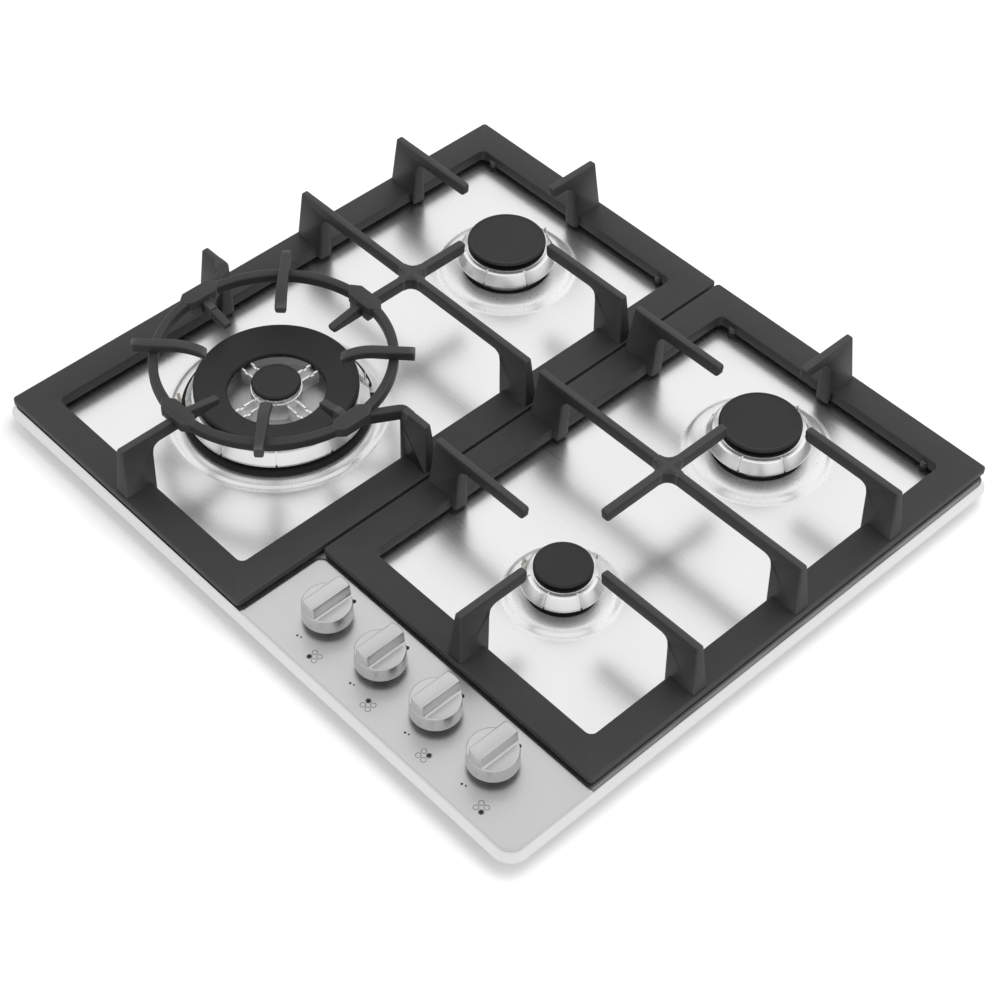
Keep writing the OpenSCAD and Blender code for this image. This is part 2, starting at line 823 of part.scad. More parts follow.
// Wok spreader: an outer gas ring on a wide base, four arms and an inner crown on a closed floor
module spreader_wok() {
    out_r = skirt_rs[3];
    base_r = out_r + wok_base_out;
    wall_r = wok_cap_r - wok_wall_out;
    in_r = wok_hole_r + wok_ring_in;
    spigot_r_out = hole_rs[3] - wok_spigot_gap;
    mid_r = wok_mid_r + mid_out;
    roof = wok_floor_z + wok_floor_t;
    color("silver")
    difference() {
        union() {
            at_burner(3, seat_z)
                rotate_extrude()
                    polygon([
                        [base_r - wok_base_w, seat_gap], [base_r, seat_gap], [base_r, wok_base_h],
                        [out_r - wok_base_out, wok_base_h], [out_r - wok_base_out, wok_skirt_lift],
                        [out_r, wok_skirt_lift], [skirt_top_rs[3], wok_top - wok_port_h],
                        [wall_r, wok_top - wok_port_h], [wall_r, wok_top], [in_r, wok_top - wok_cap_fall],
                        [in_r, wok_floor_z], [base_r - wok_base_w, wok_floor_z]
                    ]);
            at_burner(3, seat_z + wok_floor_z)
                cylinder(h = wok_floor_t, r = in_r + cut);
            at_burner(3, seat_z - wok_spigot_drop)
                cylinder(h = wok_spigot_drop + roof, r = spigot_r_out);
            at_burner(3, seat_z)
                cylinder(h = mid_top, r = mid_r - mid_out);
            at_burner(3, seat_z)
                cylinder(h = mid_top - wok_port_h, r = mid_r);
            for (a = [0:90:270])
                at_burner(3, seat_z + wok_floor_z)
                    rotate([0, 0, a]) {
                        translate([0, -arm_w / 2, 0])
                            cube([in_r + cut, arm_w, arm_top - wok_floor_z]);
                        for (s = [-1, 1])
                            translate([0, s * (arm_w - arm_rib_w) / 2 - arm_rib_w / 2, 0])
                                cube([wok_hole_r - free_gap, arm_rib_w, arm_top - wok_floor_z + arm_rib_h]);
                    }
        }
        at_burner(3, seat_z - wok_spigot_drop - cut)
            cylinder(h = wok_spigot_drop + wok_floor_z + cut, r = spigot_r_out - wok_spigot_wall);
        at_burner(3, seat_z - wok_spigot_drop - cut)
            cylinder(h = wok_spigot_drop + mid_top + 2 * cut, r = mid_r - mid_out - mid_wall);
        for (i = [0:wok_slot_count - 1])
            around(3, wok_slot_start + i * 360 / wok_slot_count, skirt_top_rs[3] - slot_depth / 2, seat_z)
                translate([0, -slot_w / 2, wok_skirt_lift - cut])
                    cube([out_r, slot_w, wok_top - wok_skirt_lift]);
        for (i = [0:wok_port_count - 1])
            around(3, i * 360 / wok_port_count, wall_r - teeth_w / 2, seat_z + wok_top - wok_port_h)
                translate([0, -port_w / 2, 0])
                    cube([teeth_w, port_w, wok_port_h + cut]);
        for (i = [0, 1])
            around(3, probe_angles[3][i], probe_rs[3][i], seat_z - cut)
                cylinder(h = wok_top + 2 * cut, r = probe_notch_r);
    }
}

module cap_wok_ring() {
    out_r = wok_cap_r;
    in_r = wok_hole_r;
    fall = wok_cap_fall;
    t = wok_cap_t;
    rim = t + wok_rim_up;
    slope = fall / (out_r - wok_wall_out - in_r - wok_ring_in);
    foot = slope * (wok_ring_in + wok_wall_out);
    color("dimgray")
    at_burner(3, seat_z + wok_top + seat_gap)
        rotate_extrude()
            polygon([
                [in_r, -fall - foot / 2], [in_r + wok_ring_in, -fall], [out_r - wok_wall_out, 0],
                [out_r - cap_chamfer / 2, 0], [out_r, cap_chamfer / 2], [out_r, rim - cap_chamfer],
                [out_r - cap_chamfer, rim], [out_r - wok_cap_bead_w, rim],
                [in_r + cap_chamfer, t - fall - foot / 2], [in_r, t - fall - foot / 2 - cap_chamfer]
            ]);
}

module cap_wok_centre() {
    r = wok_mid_r;
    color("dimgray")
    at_burner(3, seat_z + mid_top + seat_gap)
        rotate_extrude()
            polygon([
                [0, 0], [r - cap_chamfer / 2, 0], [r, cap_chamfer / 2], [r, wok_mid_t - cap_chamfer],
                [r - cap_chamfer, wok_mid_t], [r - cap_rim_w, wok_mid_t],
                [r - cap_rim_w - cap_rim_h, wok_mid_t - cap_rim_h], [0, wok_mid_t - cap_rim_h]
            ]);
}

// Grates as left, right, front and back edge, and the width of the bar on each of those edges
left_edges = [side_margin - tray_w / 2, -grate_gap / 2, front_margin - tray_d / 2, tray_d / 2 - back_margin];
right_edges = [grate_gap / 2, tray_w / 2 - side_margin, panel_back + grate_gap / 2, tray_d / 2 - back_margin];
left_bars = [bar_w, mid_bar_w, bar_w, bar_w];
right_bars = [mid_bar_w, bar_w, bar_w, bar_w];

module grate_frame(e, bars) {
    inner = [e[0] + bars[0], e[1] - bars[1], e[2] + bars[2], e[3] - bars[3]];
    lip = [inner[0] - lip_w, inner[1] + lip_w, inner[2] - lip_w, inner[3] + lip_w];
    difference() {
        union() {
            translate([0, 0, frame_z])
                edge_block(e, grate_r, frame_t);
            translate([0, 0, frame_z - lip_drop])
                edge_block(lip, window_r, lip_drop + frame_t / 2);
        }
        translate([0, 0, frame_z - lip_drop - cut])
            edge_block(inner, window_r, lip_drop + frame_t + 2 * cut);
    }
}

// One fin on a bar of width w: a post that leans in, a leg down to the well and a finger of length l,
// measured from the bar's outer edge. It lies along +X, with the outer edge at the origin.
module fin(w, l) {
    low = floor_z + leg_gap;
    under = finger_z - finger_d;
    leg = w + leg_w;
    rotate([90, 0, 0])
        translate([0, 0, -finger_w / 2])
            linear_extrude(finger_w)
                polygon([
                    [fin_base_in, frame_z + frame_t / 2], [fin_base_in, frame_top_z],
                    [fin_top_in, finger_z - fin_corner], [fin_top_in + fin_corner, finger_z],
                    [l - tip_round, finger_z], [l, finger_z - tip_round],
                    [l - tip_rake, under + tip_corner], [l - tip_rake - tip_corner, under],
                    [leg + fin_inner_fillet, under], [leg + fin_inner_fillet / 4, under - fin_inner_fillet / 4],
                    [leg, under - fin_inner_fillet], [leg - leg_taper, low], [w, low], [w, frame_z + frame_t / 2]
                ]);
}

// A fin on the left, right, front or back edge of a grate, reaching the point where the finger ends
module side_fin(e, bars, side, place, reach) {
    if (side == 0)
        translate([e[0], place, 0])
            fin(bars[0], reach - e[0]);
    if (side == 1)
        translate([e[1], place, 0])
            rotate([0, 0, 180])
                fin(bars[1], e[1] - reach);
    if (side == 2)
        translate([place, e[2], 0])
            rotate([0, 0, 90])
                fin(bars[2], reach - e[2]);
    if (side == 3)
        translate([place, e[3], 0])
            rotate([0, 0, -90])
                fin(bars[3], e[3] - reach);
}

// A straight length of finger in plan from p to q, w wide, between two levels
module finger_bar(p, q, w, z0, z1) {
    v = q - p;
    translate([p[0], p[1], z0])
        rotate([0, 0, atan2(v[1], v[0])])
            translate([0, -w / 2, 0])
                cube([norm(v), w, z1 - z0]);
}

// The rib that runs across the middle of a grate from front to back, with the corners filled
module cross_rib(x, y0, y1) {
    under = finger_z - finger_d;
    tip = tip_corner / 2;
    finger_bar([x, y0 + tip], [x, y1 - tip], finger_w, under, finger_z - tip_round / 2);
    finger_bar([x, y0 + tip_round], [x, y1 - tip_round], finger_w, under + tip, finger_z);
    finger_bar([x, y0], [x, y1], finger_w, under + tip_corner, finger_z - tip_round);
    translate([x, cross_y, under])
        difference() {
            rotate([0, 0, 45])
                translate([-cross_fillet, -cross_fillet, 0])
                    cube([2 * cross_fillet, 2 * cross_fillet, finger_d]);
            for (sx = [-1, 1], sy = [-1, 1])
                translate([sx * (finger_w / 2 + cross_fillet), sy * (finger_w / 2 + cross_fillet), -cut])
                    cylinder(h = finger_d + 2 * cut, r = cross_fillet);
        }
}

// The cranked runs on both sides of the wok burner, w wide, between two levels
module crank_bars(w, z0, z1) {
    for (s = [-1, 1]) {
        p = [burner_x[3] + s * crank_out, -crank_y];
        q = [burner_x[3] + s * crank_in, -wok_y];
        finger_bar(p, q, w, z0, z1);
        for (c = [p, q])
            translate([c[0], c[1], z0])
                cylinder(h = z1 - z0, r = w / 2 - run_gap);
    }
}

// Inner end of each finger round the wok burner, its top falling away from the stand's ring to the tip
module wok_tips() {
    under = finger_z - finger_d;
    tip = tip_rs[3];
    fall_z = finger_z - tip_fall;
    for (a = [0:90:270])
        at_burner(3, 0)
            rotate([90, 0, a])
                translate([0, 0, -finger_w / 2])
                    linear_extrude(finger_w)
                        polygon([
                            [crank_in, under], [crank_in, finger_z], [tip + tip_fall_l, finger_z],
                            [tip + tip_round, fall_z + tip_round / 4], [tip, fall_z - tip_round],
                            [tip + tip_rake, under + tip_corner / 2], [tip + tip_rake + tip_corner, under]
                        ]);
}

// Places of a grate's four corner feet
module at_stubs(e, bars) {
    for (x = [e[0] + bars[0] + stub_along, e[1] - bars[1] - stub_along])
        for (y = [e[2] + bars[2] - stub_front_out, e[3] - bars[3] + stub_back_out])
            translate([x, y, 0])
                children();
}

module stubs(e, bars) {
    at_stubs(e, bars)
        translate([0, 0, floor_z + foot_base_t + seat_gap])
            cylinder(h = frame_z + frame_t / 2 - floor_z - foot_base_t - seat_gap, r = stub_r);
}

module grate_feet(e, bars) {
    color("black")
    at_stubs(e, bars)
        translate([0, 0, floor_z + seat_gap])
            difference() {
                cylinder(h = foot_h, r = foot_r);
                translate([0, 0, foot_base_t])
                    cylinder(h = foot_h, r = stub_r + run_gap);
            }
}

module left_grate() {
    e = left_edges;
    x = burner_x[0];
    y = burner_y[0];
    under = finger_z - finger_d;
    color("darkslategray") {
        grate_frame(e, left_bars);
        stubs(e, left_bars);
        side_fin(e, left_bars, 0, y, x - tip_rs[0]);
        side_fin(e, left_bars, 1, y, x + tip_rs[0]);
        side_fin(e, left_bars, 3, x, y + tip_rs[0]);
        side_fin(e, left_bars, 2, x, -wok_y - crank_in + tip_corner + tip_rake);
        side_fin(e, left_bars, 0, cross_y, x);
        side_fin(e, left_bars, 1, cross_y, x);
        side_fin(e, left_bars, 0, -crank_y, x - crank_out + tip_corner + tip_rake);
        side_fin(e, left_bars, 1, -crank_y, x + crank_out - tip_corner - tip_rake);
        cross_rib(x, -wok_y + crank_in - tip_corner, y - tip_rs[0]);
        crank_bars(finger_w, under, finger_z);
        wok_tips();
    }
}

module right_grate() {
    e = right_edges;
    x = burner_x[1];
    y = burner_y[1];
    color("darkslategray") {
        grate_frame(e, right_bars);
        stubs(e, right_bars);
        side_fin(e, right_bars, 0, y, x - tip_rs[1]);
        side_fin(e, right_bars, 1, y, x + tip_rs[1]);
        side_fin(e, right_bars, 3, x, y + tip_rs[1]);
        side_fin(e, right_bars, 0, cross_y, x);
        side_fin(e, right_bars, 1, cross_y, x);
        side_fin(e, right_bars, 0, -aux_y, x - tip_rs[2]);
        side_fin(e, right_bars, 1, -aux_y, x + tip_rs[2]);
        side_fin(e, right_bars, 2, x, -aux_y - tip_rs[2]);
        cross_rib(x, -aux_y + tip_rs[2], y - tip_rs[1]);
    }
}

// Height of a stand finger's top over the ring, falling towards the burner as a wok's bottom does
function stand_top(t) =
    t > 1 - stand_flat_share ? stand_finger_up
    : stand_finger_up - stand_tip_fall * pow(1 - t / (1 - stand_flat_share), 2);
function stand_under(t) = stand_top(t) - stand_tip_d - (stand_end_d - stand_tip_d) * t;
function stand_radius(t) = stand_tip_r + (stand_end_r - stand_tip_r) * t;
function stand_half(t) = (stand_tip_w + (stand_end_w - stand_tip_w) * t) / 2;

module stand_finger() {
    steps = [for (i = [0:curve_steps]) i / curve_steps];
    over = 1 / curve_steps;
    intersection() {
        rotate([90, 0, 0])
            translate([0, 0, -stand_tip_w])
                linear_extrude(2 * stand_tip_w)
                    polygon(concat(
                        [for (t = steps) [stand_radius(t), stand_top(t)]],
                        [for (t = steps) [stand_radius(1 - t), stand_under(1 - t)]]
                    ));
        translate([0, 0, -stand_tip_w - stand_tip_fall])
            linear_extrude(2 * (stand_tip_w + stand_tip_fall))
                polygon([
                    [stand_radius(-over), -stand_half(-over)], [stand_radius(1 + over), -stand_half(1 + over)],
                    [stand_radius(1 + over), stand_half(1 + over)], [stand_radius(-over), stand_half(-over)]
                ]);
    }
}

module wok_stand() {
    ring_z = finger_z + ring_rise;
    mid_r = ring_r - ring_w / 2;
    color("darkslategray")
    difference() {
        union() {
            at_burner(3, ring_z - ring_d)
                rotate_extrude()
                    translate([ring_r - ring_w, 0])
                        square([ring_w, ring_d]);
            for (a = [45:90:315])
                at_burner(3, ring_z)
                    rotate([0, 0, a])
                        stand_finger();
            for (a = [0:90:270])
                at_burner(3, ring_z - ring_d)
                    rotate([0, 0, a])
                        translate([mid_r, 0, 0]) {
                            linear_extrude(ring_d + pad_up)
                                polygon([
                                    [-pad_w / 2, -pad_flat / 2], [0, -pad_l / 2], [pad_w / 2, -pad_flat / 2],
                                    [pad_w / 2, pad_flat / 2], [0, pad_l / 2], [-pad_w / 2, pad_flat / 2]
                                ]);
                            for (s = [-1, 1])
                                translate([-pad_w / 2, s * (finger_w + stand_lug_w) / 2 - stand_lug_w / 2, 0])
                                    translate([0, 0, -stand_lug_drop])
                                        cube([stand_lug_d, stand_lug_w, stand_lug_drop + cut]);
                        }
        }
        crank_bars(finger_w + 2 * free_gap, ring_z - ring_d - stand_lug_drop - cut, finger_z + seat_gap);
        for (a = [0:90:270])
            at_burner(3, ring_z - ring_d - stand_lug_drop - cut)
                rotate([0, 0, a])
                    translate([crank_in - ring_w, -finger_w / 2 - free_gap, 0])
                        cube([ring_r - crank_in + 2 * ring_w, finger_w + 2 * free_gap, notch_h]);
    }
}

module tap_body(k) {
    color("darkgray")
    difference() {
        union() {
            at_knob(k, tap_top - tap_h)
                translate([-tap_w / 2, -tap_d / 2, 0])
                    cube([tap_w, tap_d, tap_h]);
            at_knob(k, rail_z)
                rotate([-90, 0, 0])
                    cylinder(h = tap_d / 2 + spigot_l, r = spigot_r);
        }
        at_knob(k, tap_top - tap_h - cut)
            cylinder(h = tap_h - tap_roof + cut, r = plug_r + run_gap);
        at_knob(k, tap_top - tap_roof - cut)
            cylinder(h = tap_roof + 2 * cut, r = spindle_r + run_gap);
        at_knob(k, rail_z)
            rotate([-90, 0, 0])
                cylinder(h = tap_d / 2 + spigot_l + cut, r = plug_port_r);
        at_knob(k, pipe_z)
            rotate([-90, 0, 0])
                cylinder(h = tap_d / 2 + cut, r = plug_port_r);
        at_knob(k, pipe_z)
            rotate([-90, 0, 0])
                translate([0, 0, tap_d / 2 - socket_depth / 2])
                    cylinder(h = socket_depth, r = pipe_r + fit_gap);
    }
}

// Turning plug of a tap, with a square hole for the spindle's tang
module tap_plug(k) {
    hole = tang_w + 2 * fit_gap;
    color("goldenrod")
    at_knob(k, tap_top - plug_up - plug_h)
        difference() {
            cylinder(h = plug_h, r = plug_r);
            translate([-hole / 2, -hole / 2, plug_h - tang_depth])
                cube([hole, hole, tang_depth + cut]);
            translate([0, 0, rail_z - tap_top + plug_up + plug_h])
                rotate([-90, 0, 0])
                    cylinder(h = plug_r + cut, r = plug_port_r);
        }
}

collar_z = panel_z - sheet_t - collar_drop - collar_t;
knob_z = panel_z + knob_gap;

module spindle(k) {
    tang_z = tap_top - plug_up - tang_depth + tang_clear;
    color("silver") {
        at_knob(k, tang_z)
            translate([-tang_w / 2, -tang_w / 2, 0])
                cube([tang_w, tang_w, tap_top - tang_z]);
        at_knob(k, tap_top)
            cylinder(h = knob_z + bore_h - seat_gap - tap_top, r = spindle_r);
        at_knob(k, collar_z)
            cylinder(h = collar_t, r = collar_r);
    }
}

// Compression spring between the tap and the spindle's collar: one wire swept along a helix
spring_rings = spring_turns * spring_steps;
spring_low = tap_top + wire_r + seat_gap;
spring_high = collar_z - wire_r - seat_gap;
function spring_at(i) = [
    spring_r * cos(360 * i / spring_steps),
    spring_r * sin(360 * i / spring_steps),
    spring_low + (spring_high - spring_low) * i / spring_rings
];
function spring_ring(i) = [
    for (j = [0:spring_sides - 1])
        spring_at(i) + wire_r * [
            cos(360 * i / spring_steps) * cos(360 * j / spring_sides),
            sin(360 * i / spring_steps) * cos(360 * j / spring_sides),
            sin(360 * j / spring_sides)
        ]
];

module tap_spring(k) {
    n = spring_sides;
    points = [for (i = [0:spring_rings]) each spring_ring(i)];
    sides = [
        for (i = [0:spring_rings - 1], j = [0:n - 1])
            each [
                [i * n + j, (i + 1) * n + (j + 1) % n, i * n + (j + 1) % n],
                [i * n + j, (i + 1) * n + j, (i + 1) * n + (j + 1) % n]
            ]
    ];
    first = [for (j = [1:n - 2]) [0, j, j + 1]];
    last = [for (j = [1:n - 2]) spring_rings * n * [1, 1, 1] + [0, j + 1, j]];
    color("lightsteelblue")
    at_knob(k, 0)
        polyhedron(points = points, faces = concat(sides, first, last));
}
echo(gap_between_spring_turns = (spring_high - spring_low) / spring_turns - 2 * wire_r);

module knob(k) {
    shelf = knob_h - grip_h;
    color("whitesmoke")
    at_knob(k, knob_z)
        difference() {
            union() {
                difference() {
                    cylinder(h = knob_h, r1 = knob_r, r2 = knob_r - knob_taper);
                    translate([0, 0, -cut])
                        cylinder(h = knob_hollow + cut, r = knob_r - knob_taper - knob_wall);
                    for (side = [0, 1])
                        mirror([side, 0, 0])
                            rotate([90, 0, 0])
                                translate([0, 0, -knob_r - cut])
                                    linear_extrude(2 * (knob_r + cut))
                                        polygon([
                                            [grip_w / 2, knob_h + cut], [grip_w / 2, shelf + grip_chamfer],
                                            [grip_w / 2 + grip_chamfer, shelf], [knob_r + cut, shelf],
                                            [knob_r + cut, knob_h + cut]
                                        ]);
                }
                translate([0, 0, hub_in])
                    cylinder(h = shelf - hub_in, r = hub_r);
            }
            translate([0, 0, -cut])
                cylinder(h = bore_h + cut, r = spindle_r + run_gap);
        }
}

module knob_seals() {
    color("black")
    for (k = [0:3])
        at_knob(k, panel_z - sheet_t)
            difference() {
                union() {
                    cylinder(h = sheet_t, r = panel_hole_r - fit_gap);
                    translate([0, 0, sheet_t])
                        cylinder(h = bush_t, r = bush_r);
                }
                translate([0, 0, -cut])
                    cylinder(h = sheet_t + bush_t + 2 * cut, r = spindle_r + bush_bore_gap);
            }
}

module spark_switches() {
    color("darkred")
    for (k = [0:3])
        at_knob(k, tap_top)
            difference() {
                translate([-switch_w / 2, -switch_d / 2, 0])
                    cube([switch_w, switch_d, switch_h]);
                translate([0, 0, -cut])
                    cylinder(h = switch_h + 2 * cut, r = switch_hole_r);
            }
}

// Rounded right-angle runs of round bar along a list of points in plan, at one level
module tube_run(points, r, bend) {
    last = len(points) - 1;
    for (i = [0:last - 1]) {
        v = points[i + 1] - points[i];
        u = v / norm(v);
        start = i == 0 ? 0 : bend;
        end = i == last - 1 ? 0 : bend;
        translate(points[i] + u * start)
            rotate([0, 90, atan2(v[1], v[0])])
                cylinder(h = norm(v) - start - end, r = r);
    }
    if (last > 1)
        for (i = [1:last - 1]) {
            u = (points[i] - points[i - 1]) / norm(points[i] - points[i - 1]);
            v = (points[i + 1] - points[i]) / norm(points[i + 1] - points[i]);
            turn = u[0] * v[1] - u[1] * v[0];
            from = turn > 0 ? -v : u;
            translate(points[i] + (v - u) * bend)
                rotate([0, 0, atan2(from[1], from[0])])
                    rotate_extrude(angle = 90)
                        translate([bend, 0])
                            circle(r = r);
        }
}

rail_y = tap_y + tap_d / 2 + rail_r + seat_gap;
inlet_y = box_y - box_t - seat_gap - inlet_d;
rail_points = [
    [knob_x(0) - rail_end, rail_y, rail_z],
    [rail_back_x, rail_y, rail_z],
    [rail_back_x, inlet_y + socket_depth - seat_gap, rail_z]
];

module gas_rail() {
    color("silver")
    difference() {
        union() {
            tube_run(rail_points, rail_r, rail_bend);
            for (k = strap_places)
                translate([knob_x(0) + k * knob_pitch - strap_w / 2, rail_y - strap_t / 2, rail_z])
                    cube([strap_w, strap_t, panel_z - sheet_t - rail_z]);
        }
        translate([rail_wall, 0, 0])
            tube_run([rail_points[0], rail_points[1] - [rail_wall, 0, 0]], rail_r - rail_wall, rail_bend);
        for (k = [0:3])
            translate([knob_x(k), rail_y - rail_r - cut, rail_z])
                rotate([-90, 0, 0])
                    cylinder(h = rail_r, r = spigot_r + fit_gap);
    }
}

module gas_inlet() {
    color("goldenrod")
    translate([rail_back_x, inlet_y, rail_z])
        difference() {
            union() {
                translate([-inlet_w / 2, 0, -inlet_w / 2])
                    cube([inlet_w, inlet_d, inlet_w]);
                rotate([-90, 0, 0])
                    cylinder(h = inlet_d + seat_gap + box_t + inlet_out, r = inlet_neck_r);
                rotate([-90, 0, 0])
                    translate([0, 0, inlet_d + seat_gap + box_t + inlet_neck_out])
                        cylinder(h = inlet_out - inlet_neck_out, r = inlet_r);
            }
            rotate([-90, 0, 0])
                translate([0, 0, -cut])
                    cylinder(h = socket_depth + cut, r = rail_r + fit_gap);
            rotate([-90, 0, 0])
                cylinder(h = inlet_d + seat_gap + box_t + inlet_out + cut, r = inlet_bore_r);
        }
}

// Knob that feeds each burner, and the end of its pipe in the cup's socket
knob_of_burner = [1, 2, 3, 0];
function pipe_start(b) = [knob_x(knob_of_burner[b]), tap_y + tap_d / 2 - socket_depth / 2 + seat_gap, pipe_z];
function pipe_end(b) = [
    burner_x[b] + inlet_sides[b] * (cup_rs[b] + boss_l - socket_depth + seat_gap), burner_y[b], pipe_z
];
// Rows and columns that each pipe follows between its tap and its cup
pipe_rows = [-pipe_row_left, -pipe_row_right, 0, -pipe_row_wok];
pipe_cols = [pipe_col_left, pipe_col_right, 0, pipe_col_wok];
function pipe_points(b) = b == 2
    ? [pipe_start(b), [pipe_start(b)[0], burner_y[b], pipe_z], pipe_end(b)]
    : [
        pipe_start(b), [pipe_start(b)[0], pipe_rows[b], pipe_z], [pipe_cols[b], pipe_rows[b], pipe_z],
        [pipe_cols[b], burner_y[b], pipe_z], pipe_end(b)
    ];

module pipe(b) {
    color("lightgray")
    difference() {
        tube_run(pipe_points(b), pipe_r, pipe_bend);
        tube_run(pipe_points(b), pipe_r - pipe_wall, pipe_bend);
        translate(pipe_start(b) - [0, cut, 0])
            rotate([-90, 0, 0])
                cylinder(h = 2 * cut, r = pipe_r - pipe_wall);
        translate(pipe_end(b))
            rotate([0, -90 * inlet_sides[b], 0])
                translate([0, 0, -cut])
                    cylinder(h = 2 * cut, r = pipe_r - pipe_wall);
    }
}

module pipe_nut() {
    difference() {
        cylinder(h = nut_l, r = nut_r, $fn = 6);
        translate([0, 0, -cut])
            cylinder(h = nut_l + 2 * cut, r = pipe_r + fit_gap);
    }
}

module pipe_nuts() {
    color("goldenrod")
    for (b = [0:3]) {
        translate([knob_x(b), tap_y + tap_d / 2, pipe_z])
            rotate([-90, 0, 0])
                pipe_nut();
        at_burner(b, pipe_z)
            rotate([0, 90 * inlet_sides[b], 0])
                translate([0, 0, cup_rs[b] + boss_l])
                    pipe_nut();
    }
}

module spark_generator() {
    color("ivory")
    translate([generator_x, generator_y, box_t]) {
        translate([-generator_w / 2, -generator_d / 2, 0])
            cube([generator_w, generator_d, generator_h]);
        for (s = [-1, 1])
            translate([s * (generator_w + generator_lug) / 2 - generator_lug / 2 - cut, -generator_lug / 2, 0])
                cube([generator_lug + 2 * cut, generator_lug, lug_t]);
        for (i = [0:generator_posts - 1])
            translate([(i - (generator_posts - 1) / 2) * post_pitch, 0, generator_h])
                cylinder(h = post_h, r = post_r);
    }
}

block_y = box_y - block_gap - block_d;

module terminal_block() {
    color("ivory")
    translate([block_x, block_y - block_d / 2, box_t]) {
        translate([-block_w / 2, -block_d / 2, 0])
            cube([block_w, block_d, block_h]);
        for (i = [-1, 0, 1], s = [-1, 1])
            translate([i * block_screw_pitch, s * block_d / 4, block_h])
                cylinder(h = block_screw_t, r = block_screw_r);
    }
}

module cable_gland() {
    color("black")
    translate([gland_x, box_y, gland_z])
        rotate([-90, 0, 0])
            difference() {
                union() {
                    translate([0, 0, -box_t - gland_in])
                        cylinder(h = box_t + gland_in + gland_out, r = cable_r + gland_wall);
                    cylinder(h = gland_nut_t, r = gland_nut_r, $fn = 6);
                    translate([0, 0, -box_t - gland_nut_t])
                        cylinder(h = gland_nut_t, r = gland_nut_r, $fn = 6);
                }
                translate([0, 0, -box_t - gland_in - cut])
                    cylinder(h = box_t + gland_in + gland_out + 2 * cut, r = cable_r);
            }
}

module mounting_clamps() {
    color("gainsboro")
    at_clamps()
        difference() {
            union() {
                translate([0, -clamp_w / 2, clamp_z])
                    cube([clamp_t, clamp_w, clamp_h]);
                translate([0, -clamp_w / 2, clamp_z])
                    cube([clamp_arm, clamp_w, clamp_t]);
                translate([clamp_arm - clamp_t, -clamp_w / 2, clamp_z])
                    cube([clamp_t, clamp_w, 2 * clamp_t]);
            }
            translate([-cut, -clamp_slot_r, clamp_hole_z - clamp_slot_l / 2 + clamp_slot_r])
                cube([clamp_t + 2 * cut, 2 * clamp_slot_r, clamp_slot_l - 2 * clamp_slot_r]);
            for (s = [-1, 1])
                translate([-cut, 0, clamp_hole_z + s * (clamp_slot_l / 2 - clamp_slot_r)])
                    rotate([0, 90, 0])
                        cylinder(h = clamp_t + 2 * cut, r = clamp_slot_r);
        }
}

// Pan-head screw along +X, its head's seat at the origin
module side_screw(l) {
    rotate([0, 90, 0])
        cylinder(h = screw_head_t, r = screw_head_r);
    translate([-l, 0, 0])
        rotate([0, 90, 0])
            cylinder(h = l, r = screw_r);
}

module clamp_screws() {
    color("silver")
    at_clamps()
        translate([clamp_t, 0, clamp_hole_z])
            side_screw(screw_l);
}

module box_screws() {
    color("silver")
    at_tabs()
        translate([box_gap / 2 + box_t, 0, box_top - tab_hole_drop]) {
            rotate([0, 90, 0])
                cylinder(h = screw_head_t, r = screw_head_r);
            translate([-box_t - box_gap / 2, 0, 0])
                rotate([0, 90, 0])
                    cylinder(h = box_t + box_gap / 2, r = screw_r);
            translate([-screw_l, 0, 0])
                rotate([0, 90, 0])
                    cylinder(h = screw_l, r = tab_hole_r - run_gap);
        }
}

top_plate();
bottom_box();
worktop_seal();
burner_cup(0);  // cup_rear_left
burner_cup(1);  // cup_rear_right
burner_cup(2);  // cup_front_right
burner_cup(3);  // cup_wok
injectors();
igniters();
thermocouples();
gas_rail();
gas_inlet();
tap_body(0);  // tap_wok
tap_body(1);  // tap_rear_left
tap_body(2);  // tap_rear_right
tap_body(3);  // tap_front_right
tap_plug(0);  // plug_wok
tap_plug(1);  // plug_rear_left
tap_plug(2);  // plug_rear_right
tap_plug(3);  // plug_front_right
spindle(0);  // spindle_wok
spindle(1);  // spindle_rear_left
spindle(2);  // spindle_rear_right
spindle(3);  // spindle_front_right
tap_spring(0);  // spring_wok
tap_spring(1);  // spring_rear_left
tap_spring(2);  // spring_rear_right
tap_spring(3);  // spring_front_right
knob(0);  // knob_wok
knob(1);  // knob_rear_left
knob(2);  // knob_rear_right
knob(3);  // knob_front_right
knob_seals();
pipe(0);  // pipe_rear_left
pipe(1);  // pipe_rear_right
pipe(2);  // pipe_front_right
pipe(3);  // pipe_wok
pipe_nuts();
spark_generator();
spark_switches();
terminal_block();
cable_gland();
mounting_clamps();
clamp_screws();
box_screws();
cup_screws();
left_grate();
right_grate();
grate_feet(left_edges, left_bars);  // left_grate_feet
grate_feet(right_edges, right_bars);  // right_grate_feet
wok_stand();
small_spreader(0);  // spreader_rear_left
small_spreader(1);  // spreader_rear_right
small_spreader(2);  // spreader_front_right
spreader_wok();
small_cap(0);  // cap_rear_left
small_cap(1);  // cap_rear_right
small_cap(2);  // cap_front_right
cap_wok_ring();
cap_wok_centre();
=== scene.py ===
import math
import bpy
import bmesh
import numpy as np
from mathutils import Matrix, Vector


